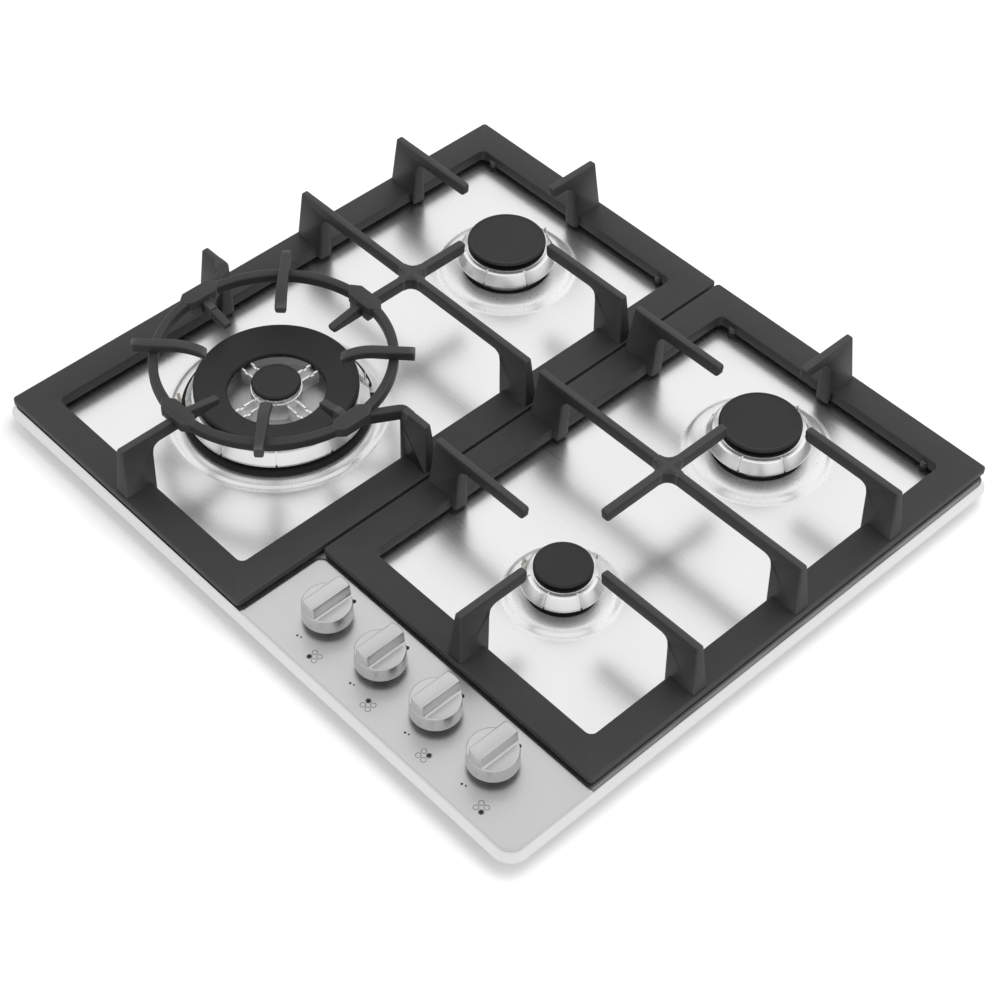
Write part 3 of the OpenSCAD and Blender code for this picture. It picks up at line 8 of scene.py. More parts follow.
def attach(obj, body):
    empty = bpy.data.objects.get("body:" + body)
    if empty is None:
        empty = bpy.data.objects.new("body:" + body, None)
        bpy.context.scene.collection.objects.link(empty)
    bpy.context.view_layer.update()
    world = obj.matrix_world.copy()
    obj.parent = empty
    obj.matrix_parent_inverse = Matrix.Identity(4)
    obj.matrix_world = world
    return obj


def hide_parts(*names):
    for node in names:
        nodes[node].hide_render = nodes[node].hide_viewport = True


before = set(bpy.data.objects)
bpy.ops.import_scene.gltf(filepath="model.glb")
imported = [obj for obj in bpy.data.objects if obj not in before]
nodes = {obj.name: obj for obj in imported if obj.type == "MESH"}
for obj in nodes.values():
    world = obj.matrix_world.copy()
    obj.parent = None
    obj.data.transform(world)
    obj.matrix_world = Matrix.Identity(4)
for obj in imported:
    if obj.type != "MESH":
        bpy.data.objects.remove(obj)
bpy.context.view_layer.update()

mm = 0.001

camera = {"place": (0.85847, -0.81648, 1.30278), "azimuth": 46.372, "elevation": 48.14,
          "roll": 0.79, "lens": 80.14, "sensor": 36, "shift": 0.0068}


def makeCamera():
    # looks along minus back; the roll turns right and up about the view direction
    a, e, c = (math.radians(camera[k]) for k in ("azimuth", "elevation", "roll"))
    back = Vector((math.sin(a) * math.cos(e), -math.cos(a) * math.cos(e), math.sin(e)))
    right = Vector((math.cos(a), math.sin(a), 0))
    up = back.cross(right)
    turned = right * math.cos(c) + up * math.sin(c)
    raised = up * math.cos(c) - right * math.sin(c)
    data = bpy.data.cameras.new("photoCamera")
    data.lens = camera["lens"]
    data.sensor_width = camera["sensor"]
    data.shift_x = camera["shift"]
    eye = bpy.data.objects.new("photoCamera", data)
    eye.matrix_world = Matrix((turned, raised, back)).transposed().to_4x4()
    eye.location = camera["place"]
    bpy.context.collection.objects.link(eye)
    bpy.context.scene.camera = eye


makeCamera()
bpy.context.scene.view_settings.view_transform = "Standard"

# the sizes of the part that the pieces share, in millimetres from the underside of the box
level = {"rim": 50, "panel": 52, "well": 44, "seat": 47.5,
         "frameLow": 52, "frameTop": 58, "finger": 102.5, "ring": 106.5}
columnX, rearY, crossY, auxY, wokY, crankY = 142, 148.5, 44, -62.5, -97.5, -60
# radii of cap, skirt, skirt's top, seat and hole; igniter and thermocouple as (angle, radius) and heights
rearBurner = {"y": rearY, "cap": 32.3, "skirt": 41.2, "top": 36, "seat": 57, "hole": 20,
              "spark": (90, 44.9), "sparkUp": (7, 14), "probe": (197, 38.7), "probeTop": 15}
burners = {
    "rear_left": {"x": -columnX, **rearBurner},
    "rear_right": {"x": columnX, **rearBurner},
    "front_right": {"x": columnX, "y": auxY, "cap": 22.2, "skirt": 31.8, "top": 26, "seat": 44, "hole": 13,
                    "spark": (90, 35.5), "sparkUp": (5, 10), "probe": (197, 32.3), "probeTop": 15},
    "wok": {"x": -columnX, "y": wokY, "cap": 64.7, "skirt": 72.5, "top": 66, "seat": 86, "hole": 40,
            "spark": (60, 70), "sparkUp": (15, 23), "probe": (232, 76.2), "probeTop": 20},
}
wokCentre = (-columnX, wokY)
knobs = {"wok": 50, "rear_left": 108, "rear_right": 166, "front_right": 224}
knobY = -208.5


def gridFaces(rows, cols, closeRows=False, closeCols=False):
    # point (r, c) is number r * cols + c and each cell is one quad
    r, c = np.meshgrid(np.arange(rows - (not closeRows)), np.arange(cols - (not closeCols)), indexing="ij")
    r2, c2 = (r + 1) % rows, (c + 1) % cols
    return np.stack([r * cols + c, r * cols + c2, r2 * cols + c2, r2 * cols + c], -1).reshape(-1, 4)


def loft(rings, closed=False, caps=True, mark=0):
    # a tube of quads through rings of equal counts, with a flat face on each end unless it closes on itself
    rings = np.asarray(rings, float)
    rows, cols = rings.shape[:2]
    faces = [gridFaces(rows, cols, closed, True)]
    if caps and not closed:
        faces += [np.arange(cols)[None, ::-1], np.arange(cols)[None] + (rows - 1) * cols]
    return rings.reshape(-1, 3), faces, mark


def levelRing(outline, z):
    # an outline laid flat at one height
    return np.column_stack([outline, np.full(len(outline), z)])


def turnMatrix(heading):
    # turns level points anticlockwise about the vertical axis
    a = math.radians(heading)
    return np.array([[math.cos(a), -math.sin(a)], [math.sin(a), math.cos(a)]])


def filletOutline(corners, radii, steps=6):
    # each corner becomes an arc of its radius that touches both sides
    p = np.array(corners, float)
    r = np.broadcast_to(np.asarray(radii, float), len(p))
    a, b = np.roll(p, 1, 0) - p, np.roll(p, -1, 0) - p
    la, lb = np.linalg.norm(a, axis=1), np.linalg.norm(b, axis=1)
    a, b = a / la[:, None], b / lb[:, None]
    half = np.arccos(np.clip((a * b).sum(1), -0.9999, 0.9999)) / 2
    back = np.minimum(r / np.tan(half), 0.49 * np.minimum(la, lb))
    r = back * np.tan(half)
    mid = (a + b) / np.linalg.norm(a + b, axis=1)[:, None]
    centre = p + mid * (r / np.sin(half))[:, None]
    first, last = p + a * back[:, None] - centre, p + b * back[:, None] - centre
    start = np.arctan2(first[:, 1], first[:, 0])
    swing = (np.arctan2(last[:, 1], last[:, 0]) - start + np.pi) % (2 * np.pi) - np.pi
    turn = start[:, None] + swing[:, None] * np.linspace(0, 1, steps)
    return (centre[:, None] + r[:, None, None] * np.stack([np.cos(turn), np.sin(turn)], -1)).reshape(-1, 2)


def keepEnds(points, extra, radii, steps):
    # fillets an outline closed by extra points, then drops their arcs and those of the two ends
    full = filletOutline(np.vstack([points, extra]), radii, steps).reshape(-1, steps, 2)
    return np.vstack([points[:1], full[1:len(points) - 1].reshape(-1, 2), points[-1:]])


def filletPath(points, radius, steps=6):
    # a polyline in plan whose inner corners are rounded and whose ends stay
    p, aside = np.array(points, float), [[0.5, 90]]
    return keepEnds(p, np.vstack([p[-1:] + aside, p[:1] + aside]), radius, steps)


def filletOpen(points, radii, steps=5):
    # a profile that starts and ends on the axis; the outline closes on the far side of it
    p, beyond = np.array(points, float), -50
    return keepEnds(p, [(beyond, p[-1, 1]), (beyond, p[0, 1])], list(radii) + [0.1, 0.1], steps)


def insetOutline(outline, d):
    # every point of a counter-clockwise outline moves in along the mitre of its two sides
    side = np.roll(outline, -1, 0) - outline
    side /= np.maximum(np.linalg.norm(side, axis=1), 1e-9)[:, None]
    n = np.stack([-side[:, 1], side[:, 0]], -1)
    m = np.roll(n, 1, 0)
    return outline + d * (n + m) / np.maximum(1 + (n * m).sum(1), 0.3)[:, None]


def slab(outline, width, edge, place=(0, 0), heading=0, widen=None, steps=4, mark=0):
    # an upright plate: (along, up) outline, whose sides curve in by a quarter circle of radius edge
    t = np.linspace(0, np.pi / 2, steps)
    side = np.concatenate([edge * (1 - np.cos(t)) - width / 2, (width / 2 - edge * (1 - np.cos(t)))[::-1]])
    inset = np.concatenate([edge * (1 - np.sin(t))] * 2)
    inset[steps:] = inset[steps:][::-1]
    flat = np.stack([insetOutline(outline, d) for d in inset])
    share = np.ones(flat.shape[:2]) if widen is None else widen(flat[..., 0], flat[..., 1])
    h = math.radians(heading)
    along, across = flat[..., 0], side[:, None] * share
    x = place[0] + along * math.cos(h) + across * math.sin(h)
    y = place[1] + along * math.sin(h) - across * math.cos(h)
    return loft(np.stack([x, y, flat[..., 1]], -1), mark=mark)


def sweep(path, section):
    # a profile (left, up) carried along a level path, square to it at every point
    path = np.asarray(path, float)
    tangent = np.gradient(path, axis=0)
    tangent[:, 2] = 0
    tangent /= np.linalg.norm(tangent, axis=1)[:, None]
    left = np.stack([-tangent[:, 1], tangent[:, 0], np.zeros(len(path))], -1)
    rings = path[:, None] + left[:, None] * section[None, :, :1]
    rings[..., 2] += section[None, :, 1]
    return loft(rings)


def roundRect(left, right, front, back, radius, steps=8):
    # counter-clockwise from the front left corner
    corners = [(left, front), (right, front), (right, back), (left, back)]
    return filletOutline(corners, max(radius, 0.05), steps)


def revolve(profile, centre, count=96, angles=None, move=None, closed=True, mark=0):
    # (radius, height) profile turned about a vertical axis; move(angle, radius, height) may shift its points
    profile = np.array(profile, float)
    a = np.linspace(0, 2 * np.pi, count, endpoint=False) if angles is None else np.asarray(angles)
    r = np.broadcast_to(profile[:, :1], (len(profile), len(a)))
    z = np.broadcast_to(profile[:, 1:], (len(profile), len(a)))
    if move is not None:
        r, z = move(a[None], r, z)
    rings = np.stack([centre[0] + r * np.cos(a), centre[1] + r * np.sin(a), z], -1)
    return loft(rings, closed=closed, caps=False, mark=mark)


def makePiece(name, parts, finishes, body, replaced=(), sharp=34):
    # joins parts, millimetres in and metres out, and closes seams and poles by merging equal points
    points = np.vstack([p.reshape(-1, 3) for p, _, _ in parts]) * mm
    faces, marks, first = [], [], 0
    for p, groups, mark in parts:
        for group in groups:
            faces += (group + first).tolist()
            marks += [mark] * len(group)
        first += len(p.reshape(-1, 3))
    mesh = bpy.data.meshes.new(name)
    mesh.from_pydata(points.tolist(), [], faces)
    mesh.polygons.foreach_set("material_index", marks)
    bm = bmesh.new()
    bm.from_mesh(mesh)
    bmesh.ops.remove_doubles(bm, verts=bm.verts, dist=2e-6)
    bmesh.ops.dissolve_degenerate(bm, edges=bm.edges, dist=1e-7)
    bm.to_mesh(mesh)
    bm.free()
    mesh.polygons.foreach_set("use_smooth", [True] * len(mesh.polygons))
    mesh.set_sharp_from_angle(angle=math.radians(sharp))
    for made in finishes:
        mesh.materials.append(finish[made])
    piece = bpy.data.objects.new(name, mesh)
    bpy.context.collection.objects.link(piece)
    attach(piece, body)
    if replaced:
        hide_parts(*replaced)


def feed(tree, socket, value):
    # a socket takes a plain value or another node's output
    if isinstance(value, bpy.types.NodeSocket):
        tree.links.new(value, socket)
    else:
        socket.default_value = value


def addMath(tree, operation, *terms):
    # a Math node of plain values and other nodes' outputs
    node = tree.nodes.new("ShaderNodeMath")
    node.operation = operation
    for socket, term in zip(node.inputs, terms):
        feed(tree, socket, term)
    return node.outputs["Value"]


def addRange(tree, value, fromLow, fromHigh, toLow=0, toHigh=1):
    # a straight ramp between two pairs of values, level outside them
    ramp = tree.nodes.new("ShaderNodeMapRange")
    for label, amount in (("Value", value), ("From Min", fromLow), ("From Max", fromHigh),
                          ("To Min", toLow), ("To Max", toHigh)):
        feed(tree, ramp.inputs[label], amount)
    return ramp.outputs["Result"]


def addBump(tree, strength, distance, height):
    # the surface seems raised by height * distance, in metres
    bump = tree.nodes.new("ShaderNodeBump")
    bump.inputs["Strength"].default_value = strength
    bump.inputs["Distance"].default_value = distance
    feed(tree, bump.inputs["Height"], height)
    return bump


def addHeight(tree, output):
    # the vertical part of a Texture Coordinate output
    place = tree.nodes.new("ShaderNodeTexCoord")
    split = tree.nodes.new("ShaderNodeSeparateXYZ")
    feed(tree, split.inputs["Vector"], place.outputs[output])
    return split.outputs["Z"]


def newGroup(name, inputs, outputs):
    # an empty node group with named inputs (label, kind, value) and outputs (label, kind)
    group = bpy.data.node_groups.new(name, "ShaderNodeTree")
    for label, kind, value in inputs:
        group.interface.new_socket(name=label, in_out="INPUT", socket_type=kind).default_value = value
    for label, kind in outputs:
        group.interface.new_socket(name=label, in_out="OUTPUT", socket_type=kind)
    return group, group.nodes.new("NodeGroupInput"), group.nodes.new("NodeGroupOutput")


def grainGroup():
    # noise on object coordinates stretched along each axis: streaks when one axis is long, grain when none is
    inputs = [("Stretch", "NodeSocketVector", (900, 900, 900)), ("Detail", "NodeSocketFloat", 3),
              ("Low", "NodeSocketFloat", 0), ("High", "NodeSocketFloat", 1)]
    group, start, end = newGroup("metalGrain", inputs, [("Value", "NodeSocketFloat")])
    place = group.nodes.new("ShaderNodeTexCoord")
    scale = group.nodes.new("ShaderNodeVectorMath")
    scale.operation = "MULTIPLY"
    noise = group.nodes.new("ShaderNodeTexNoise")
    noise.inputs["Scale"].default_value = 1
    feed(group, scale.inputs[0], place.outputs["Object"])
    feed(group, scale.inputs[1], start.outputs["Stretch"])
    feed(group, noise.inputs["Vector"], scale.outputs["Vector"])
    feed(group, noise.inputs["Detail"], start.outputs["Detail"])
    spread = addRange(group, noise.outputs["Fac"], 0.3, 0.7, start.outputs["Low"], start.outputs["High"])
    feed(group, end.inputs["Value"], spread)
    return group


grain = grainGroup()


def addGrain(tree, stretch, detail, low, high):
    # the grain group with its own values; one stretch may serve all three axes
    node = tree.nodes.new("ShaderNodeGroup")
    node.node_tree = grain
    values = {"Stretch": np.broadcast_to(stretch, 3).tolist(), "Detail": detail, "Low": low, "High": high}
    for label, value in values.items():
        node.inputs[label].default_value = value
    return node.outputs["Value"]


def addEdgeWearAndHighlight(tree, colour, amount):
    # pointiness over one half marks outer edges, which are lightened: partly wear where the enamel is thin,
    # partly a painted highlight where they catch light
    shape = tree.nodes.new("ShaderNodeNewGeometry")
    raised = tree.nodes.new("ShaderNodeVectorMath")
    raised.operation = "ADD"
    feed(tree, raised.inputs[0], colour)
    feed(tree, raised.inputs[1], addRange(tree, shape.outputs["Pointiness"], 0.515, 0.60, 0, amount))
    return raised.outputs["Vector"]


def makeFinish(name, dark, pale, rough, metal=0.0, stretch=900, patch=14, bump=0.1, depth=0.0001,
               specular=0.5, wave=0.0, waveScale=9, waveDepth=0.002, edges=0.0):
    # patches mix the two colours, fine grain moves the roughness and raises the bump, waves bend the sheet;
    # colour = mix + edges * how far the surface is an outer edge, which is edge wear and a painted highlight
    made = bpy.data.materials.new(name)
    made.use_nodes = True
    tree = made.node_tree
    shader = tree.nodes["Principled BSDF"]
    shader.inputs["Metallic"].default_value = metal
    shader.inputs["Specular IOR Level"].default_value = specular
    mix = tree.nodes.new("ShaderNodeMix")
    mix.data_type = "RGBA"
    mix.inputs["A"].default_value = (*np.broadcast_to(dark, 3).tolist(), 1)
    mix.inputs["B"].default_value = (*np.broadcast_to(pale, 3).tolist(), 1)
    patches, fine = addGrain(tree, patch, 3, 0, 1), addGrain(tree, stretch, 4, 0, 0.5)
    feed(tree, mix.inputs["Factor"], addMath(tree, "MULTIPLY_ADD", patches, 0.5, fine))
    colour = mix.outputs["Result"]
    feed(tree, shader.inputs["Base Color"], addEdgeWearAndHighlight(tree, colour, edges) if edges else colour)
    feed(tree, shader.inputs["Roughness"], addGrain(tree, stretch, 4, *rough))
    rise = addBump(tree, bump, depth, addGrain(tree, stretch, 6, 0, 1))
    if wave:
        bend = addBump(tree, wave, waveDepth, addGrain(tree, waveScale, 1, 0, 1))
        feed(tree, rise.inputs["Normal"], bend.outputs["Normal"])
    feed(tree, shader.inputs["Normal"], rise.outputs["Normal"])
    return made


brushed = (14, 2200, 2200)  # long streaks along X
# name, darkest and palest colour, range of roughness, metal, stretch of the grain per metre
finish = {
    "wellSteel": makeFinish("brushedWellSteel", 0.87, 0.92, (0.27, 0.31), 1.0, brushed, bump=0.005, wave=0.3),
    "seatSteel": makeFinish("pressedSeatSteel", 0.89, 0.94, (0.27, 0.33), 0.7, 600, bump=0.003, wave=0.25,
                            waveScale=16, waveDepth=0.0012),
    # edges lightens the iron's outer edges: wear, and a painted highlight
    "castIron": makeFinish("enamelledCastIron", (0.016, 0.016, 0.017), (0.030, 0.030, 0.032), (0.40, 0.60),
                           0.0, 1400, bump=0.35, depth=0.00015, specular=0.42, edges=0.07),
    # a darker copy of the black enamel, painted shade on the caps' walls
    "capSide": makeFinish("blackCapWall", 0.001, 0.003, (0.45, 0.6), 0.0, 1800, bump=0.2, specular=0.04),
    "capEnamel": makeFinish("mattBlackEnamel", (0.010, 0.010, 0.011), (0.018, 0.018, 0.019), (0.40, 0.55),
                            0.0, 1800, bump=0.2, specular=0.4),
    "polished": makeFinish("polishedAluminium", 0.95, 0.98, (0.28, 0.34), 0.85, 700, bump=0.006),
    # a near-black finish painted where shade falls under the skirts and caps
    "paintedBurnerShade": makeFinish("darkBurnerBase", 0.008, 0.016, (0.5, 0.65), 0.0, 1500, bump=0.2, specular=0.25),
    "cast": makeFinish("castAluminium", 0.42, (0.60, 0.60, 0.59), (0.34, 0.5), 1.0, bump=0.25),
    "knob": makeFinish("satinKnobMetal", 0.58, 0.68, (0.26, 0.38), 1.0, (1200, 40, 1200), bump=0.05),
    "ceramic": makeFinish("glazedCeramic", (0.74, 0.73, 0.70), (0.84, 0.83, 0.80), (0.18, 0.28), 0.0, 500,
                          bump=0.05),
    "copper": makeFinish("thermocoupleMetal", (0.45, 0.40, 0.34), (0.66, 0.60, 0.52), (0.22, 0.36), 1.0,
                         (900, 900, 200)),
    "pin": makeFinish("sparkPinSteel", 0.50, 0.66, (0.24, 0.36), 1.0, (900, 900, 200)),
    "print": makeFinish("panelPrint", 0.010, 0.020, (0.5, 0.6), 0.0, 2500, depth=0.00005, specular=0.3),
    "galvanised": makeFinish("galvanisedSheet", (0.40, 0.41, 0.42), (0.58, 0.59, 0.60), (0.3, 0.5), 0.9, 260,
                             patch=70),
    "foam": makeFinish("sealFoam", (0.030, 0.030, 0.031), (0.055, 0.055, 0.056), (0.85, 0.95), 0.0, 1100,
                       bump=0.6, depth=0.0003, specular=0.2),
    "rubber": makeFinish("blackRubber", 0.014, 0.026, (0.6, 0.75), 0.0, 1300, bump=0.2, specular=0.3),
    "brass": makeFinish("turnedBrass", (0.62, 0.44, 0.18), (0.80, 0.60, 0.30), (0.22, 0.36), 1.0,
                        (900, 900, 2200)),
    "zinc": makeFinish("zincPlatedSteel", (0.55, 0.56, 0.57), (0.70, 0.71, 0.72), (0.28, 0.4), 1.0, 500),
    "screw": makeFinish("screwSteel", (0.48, 0.49, 0.50), (0.64, 0.65, 0.66), (0.25, 0.38), 1.0,
                        (800, 800, 2500)),
    "spring": makeFinish("springSteel", (0.42, 0.43, 0.45), (0.60, 0.61, 0.63), (0.2, 0.32), 1.0, bump=0.08),
    "whitePlastic": makeFinish("whitePlastic", (0.72, 0.72, 0.70), (0.80, 0.80, 0.78), (0.4, 0.5), 0.0, 1500,
                               depth=0.00005),
    "darkPlastic": makeFinish("darkPlastic", (0.030, 0.030, 0.032), (0.050, 0.050, 0.053), (0.42, 0.55), 0.0,
                              1500, bump=0.15, depth=0.00005),
    "pipe": makeFinish("pipeAluminium", 0.58, 0.72, (0.26, 0.4), 1.0, 400, bump=0.08),
}
slotFinish = {
    "tray_steel": "wellSteel", "galvanised_sheet": "galvanised", "seal_foam": "foam", "brass": "brass",
    "ceramic": "ceramic", "copper_alloy": "copper", "zinc_steel": "zinc", "black_rubber": "rubber",
    "white_plastic": "whitePlastic", "dark_plastic": "darkPlastic", "screw_steel": "screw",
    "spring_steel": "spring", "grate_iron": "castIron", "cap_enamel": "capEnamel", "cast_aluminium": "cast",
    "polished_aluminium": "polished", "pipe_aluminium": "pipe", "knob_metal": "knob",
}


def dressSolids():
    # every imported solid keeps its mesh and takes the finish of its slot
    for name, solid in nodes.items():
        for s in solid.material_slots:
            key = s.material.name.split(".")[0] if s.material else ""
            for word, chosen in slotFinish.items():
                if word in key:
                    s.material = finish[chosen]
                    break
            else:
                print("no finish for", name, key)


dressSolids()
print("finishes made:", len(finish))

# round is half the bend at a well's wall; of the last two values the first darkens the rim's and the panel's
# colour as painted shade and rougher raises their roughness, setting them off from the wells
tray = {"halfW": 286, "halfD": 251, "land": 12, "skirt": 4, "drop": 8, "sheet": 1, "corner": 12,
        "cornerSteps": 12, "wellRound": 20, "wallRun": 6, "round": 1.3, "panelLeft": 1.4, "panelBack": -173,
        "panelRound": 7, "panelSlope": 0.6, "panelBend": 0.35, "pitch": 5, "closest": 0.22, "rimPaintedShade": 0.74,
        "rougher": 0.08}
wells = [(-274, -14, -239, 239), (14, 274, -158, 239)]
# dome is how far inside its rim a seat's crown ends, run and steep how wide its slope is
seat = {"dome": 3.4, "run": 6.6, "steep": 3.6, "bend": 1.4, "sag": 0.9, "clear": 0.03, "overlap": 0.5}


def insideDistance(x, y, edges, radius):
    # distance to a rounded rectangle, positive inside
    cx, cy = (edges[0] + edges[1]) / 2, (edges[2] + edges[3]) / 2
    qx = np.abs(x - cx) - ((edges[1] - edges[0]) / 2 - radius)
    qy = np.abs(y - cy) - ((edges[3] - edges[2]) / 2 - radius)
    return radius - np.hypot(np.maximum(qx, 0), np.maximum(qy, 0)) - np.minimum(np.maximum(qx, qy), 0)


def softRamp(s, length, height, q):
    # 0 before s = 0, height after s = length, straight between, with parabolas 2q long at both bends
    def bend(v):
        return np.where(v > q, v, np.where(v < -q, 0, (v + q) ** 2 / (4 * q)))
    return height / length * (bend(s) - bend(s - length))


def trayHeight(x, y):
    # the rim's level, less the wells, plus the knob panel, which runs out over the front and right rim
    z = np.full(np.broadcast(x, y).shape, float(level["rim"]))
    for edges in wells:
        inside = insideDistance(x, y, edges, tray["wellRound"])
        z -= softRamp(inside, tray["wallRun"], level["rim"] - level["well"], tray["round"])
    beyond = 400
    panel = insideDistance(x, y, (tray["panelLeft"], beyond, -beyond, tray["panelBack"]), tray["panelRound"])
    rim = insideDistance(x, y, (-tray["halfW"], tray["halfW"], -tray["halfD"], tray["halfD"]), tray["corner"])
    rise = level["panel"] - level["rim"]
    return z + softRamp(np.minimum(panel, rim), tray["panelSlope"] * rise, rise, tray["panelBend"])


def gridLines(low, high, wellEdges, panelEdge):
    # even lines, closer through each well's wall and round corner and at the panel's step
    q, run = tray["round"], tray["wallRun"]
    bends = np.array([-q, -q / 2, 0, q / 2, q])
    corner = np.arange(run + 2 * q, tray["wellRound"] + 2, q)
    wall = np.concatenate([bends, [0.4 * run, 0.6 * run], run + bends, corner])
    q, run = tray["panelBend"], tray["panelSlope"] * (level["panel"] - level["rim"])
    step = np.array([-q, 0, q, run / 2, run - q, run, run + q, 2.6, 4, 5.4, 7, 8.5])
    lines = [np.linspace(low, high, int((high - low) / tray["pitch"]) + 1)]
    lines += [edge + sign * wall for edge, sign in wellEdges] + [panelEdge[0] + panelEdge[1] * step]
    lines = np.unique(np.round(np.concatenate(lines), 2))
    lines = lines[(lines >= low) & (lines <= high)]
    keep = np.concatenate([[True], np.diff(lines) > tray["closest"]])
    keep[-1] = True
    return lines[keep]


def makeTray():
    # inside the land's middle line the sheet is a height map; outside it a profile runs round the edge,
    # over the rim, down the skirt and back underneath
    w, d = tray["halfW"] - tray["land"], tray["halfD"] - tray["land"]
    xs = gridLines(-w, w, [side for e in wells for side in ((e[0], 1), (e[1], -1))], (tray["panelLeft"], 1))
    ys = gridLines(-d, d, [side for e in wells for side in ((e[2], 1), (e[3], -1))], (tray["panelBack"], -1))
    x, y = np.meshgrid(xs, ys)
    sheet = np.stack([x, y, trayHeight(x, y)], -1).reshape(-1, 3)
    quads = gridFaces(len(ys), len(xs))
    far = np.ones(len(quads), bool)
    for b in burners.values():
        # cells wholly under a burner's pressed seat are left to the seat's own rings
        reach = np.hypot(sheet[:, 0] - b["x"], sheet[:, 1] - b["y"])[quads].max(1)
        far &= reach > b["seat"] + seat["overlap"]

    ones, side = np.ones(len(xs)), np.ones(len(ys))
    base = [np.stack([xs, -d * ones], -1), np.stack([w * side, ys], -1),
            np.stack([xs[::-1], d * ones], -1), np.stack([-w * side, ys[::-1]], -1)]
    turn = np.radians(np.linspace(0, 90, tray["cornerSteps"]))
    ring, out = [], []
    for i, run in enumerate(base):
        heading = math.radians(90 * i - 90)
        ring += [run, np.repeat(run[-1:], len(turn), 0)]
        out += [np.repeat([[math.cos(heading), math.sin(heading)]], len(run), 0),
                np.stack([np.cos(heading + turn), np.sin(heading + turn)], -1)]
    ring, out = np.vstack(ring), np.vstack(out)
    edge, foot, sheetT, steps = tray["land"], tray["land"] + tray["skirt"], tray["sheet"], 7
    rings = []
    for reach in (0, 0.65, 1.3, 3, 6, 8.5, 10, 10.4, 10.8, 11.1, 11.4, 11.7):
        spot = ring + out * reach
        rings.append(np.column_stack([spot, trayHeight(spot[:, 0], spot[:, 1])]))
    corners = [(edge - 3, 0), (edge, 0), (foot, -tray["drop"]), (foot - 1.1, -tray["drop"]),
               (edge - 0.6, -sheetT), (edge - 3, -sheetT)]
    fold = filletOutline(corners, [0.1, 1.6, 0.35, 0.35, 0.8, 0.1], steps)
    for reach, fall in [*fold[steps:5 * steps], (edge - 6, -sheetT), (edge - 11.5, -sheetT)]:
        rings.append(levelRing(ring + out * reach, level["rim"] + fall))
    return [(sheet, [quads[far]], 0), loft(rings[::-1], caps=False)]


def seatParts(b):
    # rings from the turned-down edge of the hole over a shallow dome, which sags by a cube law, and down its
    # outer slope to the well
    size, hole, high, low = b["seat"] - seat["dome"], b["hole"], level["seat"], level["well"] + seat["clear"]
    t = np.linspace(0, 1, 8)
    slope = np.linspace(0, seat["run"], 10)
    fall = high - seat["sag"] - low
    z = low + fall * (1 - softRamp(slope, seat["steep"], 1, seat["bend"]))
    profile = [(hole - 1, high - 3), (hole - 1, high - 1), (hole - 0.6, high - 0.3)]
    profile += list(zip(hole + (size - hole) * t, high - seat["sag"] * t ** 3))
    profile += list(zip(size + slope[1:], z[1:]))
    return revolve(np.array(profile)[::-1], (b["x"], b["y"]), count=128, closed=False)


def shadeRim(made):
    # above the wells the sheet's colour is darkened by a factor as painted shade, and its roughness is raised
    # by rougher
    tree = made.node_tree
    shader = tree.nodes["Principled BSDF"]
    mask = addRange(tree, addHeight(tree, "Object"), (level["rim"] - 1.2) * mm, (level["rim"] - 0.1) * mm)
    colour, rough = (shader.inputs[label].links[0].from_socket for label in ("Base Color", "Roughness"))
    rimShadeMix = tree.nodes.new("ShaderNodeMix")
    rimShadeMix.data_type = "RGBA"
    rimShadeMix.blend_type = "MULTIPLY"
    rimShadeMix.inputs["B"].default_value = (tray["rimPaintedShade"],) * 3 + (1,)
    feed(tree, rimShadeMix.inputs["A"], colour)
    feed(tree, rimShadeMix.inputs["Factor"], mask)
    feed(tree, shader.inputs["Base Color"], rimShadeMix.outputs["Result"])
    feed(tree, shader.inputs["Roughness"], addMath(tree, "MULTIPLY_ADD", mask, tray["rougher"], rough))


shadeRim(finish["wellSteel"])
makePiece("tray", makeTray(), ["wellSteel"], "hob", ["top_plate"], sharp=60)
for name, b in burners.items():
    makePiece("seat_" + name, [seatParts(b)], ["seatSteel"], "hob", ["top_plate"], sharp=60)

# places from each knob's axis in X and from the part's origin in Y, then a radius or half the pictogram's
# pitch; secondDot is measured from the first, and its last value is a share of that dot's radius
printed = {"offDot": (1, -185, 1.9), "sparkDots": (-2.5, -235, 0.9), "secondDot": (3, 0.9, 0.8),
           "pictogram": (20.5, -238.3, 2.6), "ring": 2.15, "line": 0.35, "filled": 1.6, "thick": 0.05,
           "sunk": 0.02}


def disc(x, y, r, hole=0.0, count=28):
    # a printed dot, or a ring where it has a hole, standing a hair above the panel
    z0, z1 = level["panel"] - printed["sunk"], level["panel"] + printed["thick"]
    if hole:
        return revolve([(r, z0), (r, z1), (hole, z1), (hole, z0)], (x, y), count)
    a = np.linspace(0, 2 * np.pi, count, endpoint=False)
    circle = np.stack([x + r * np.cos(a), y + r * np.sin(a)], -1)
    return loft([levelRing(circle, z) for z in (z0, z1)])


def makeMarks():
    # beside each knob: its off dot, two small spark dots and four burners as rings, with its own one filled
    parts = []
    corner = {"wok": (-1, -1), "rear_left": (-1, 1), "rear_right": (1, 1), "front_right": (1, -1)}
    for name, x in knobs.items():
        ox, oy, r = printed["offDot"]
        parts.append(disc(x + ox, oy, r))
        ox, oy, r = printed["sparkDots"]
        dx, dy, share = printed["secondDot"]
        parts += [disc(x + ox, oy, r), disc(x + ox + dx, oy + dy, r * share)]
        ox, oy, step = printed["pictogram"]
        for other, (sx, sy) in corner.items():
            cx, cy = x + ox + sx * step, oy + sy * step
            parts.append(disc(cx, cy, printed["ring"], printed["ring"] - printed["line"]))
            if other == name:
                parts.append(disc(cx, cy, printed["filled"]))
    return parts


makePiece("panel_marks", makeMarks(), ["print"], "hob", ["top_plate"])
print("tray made")

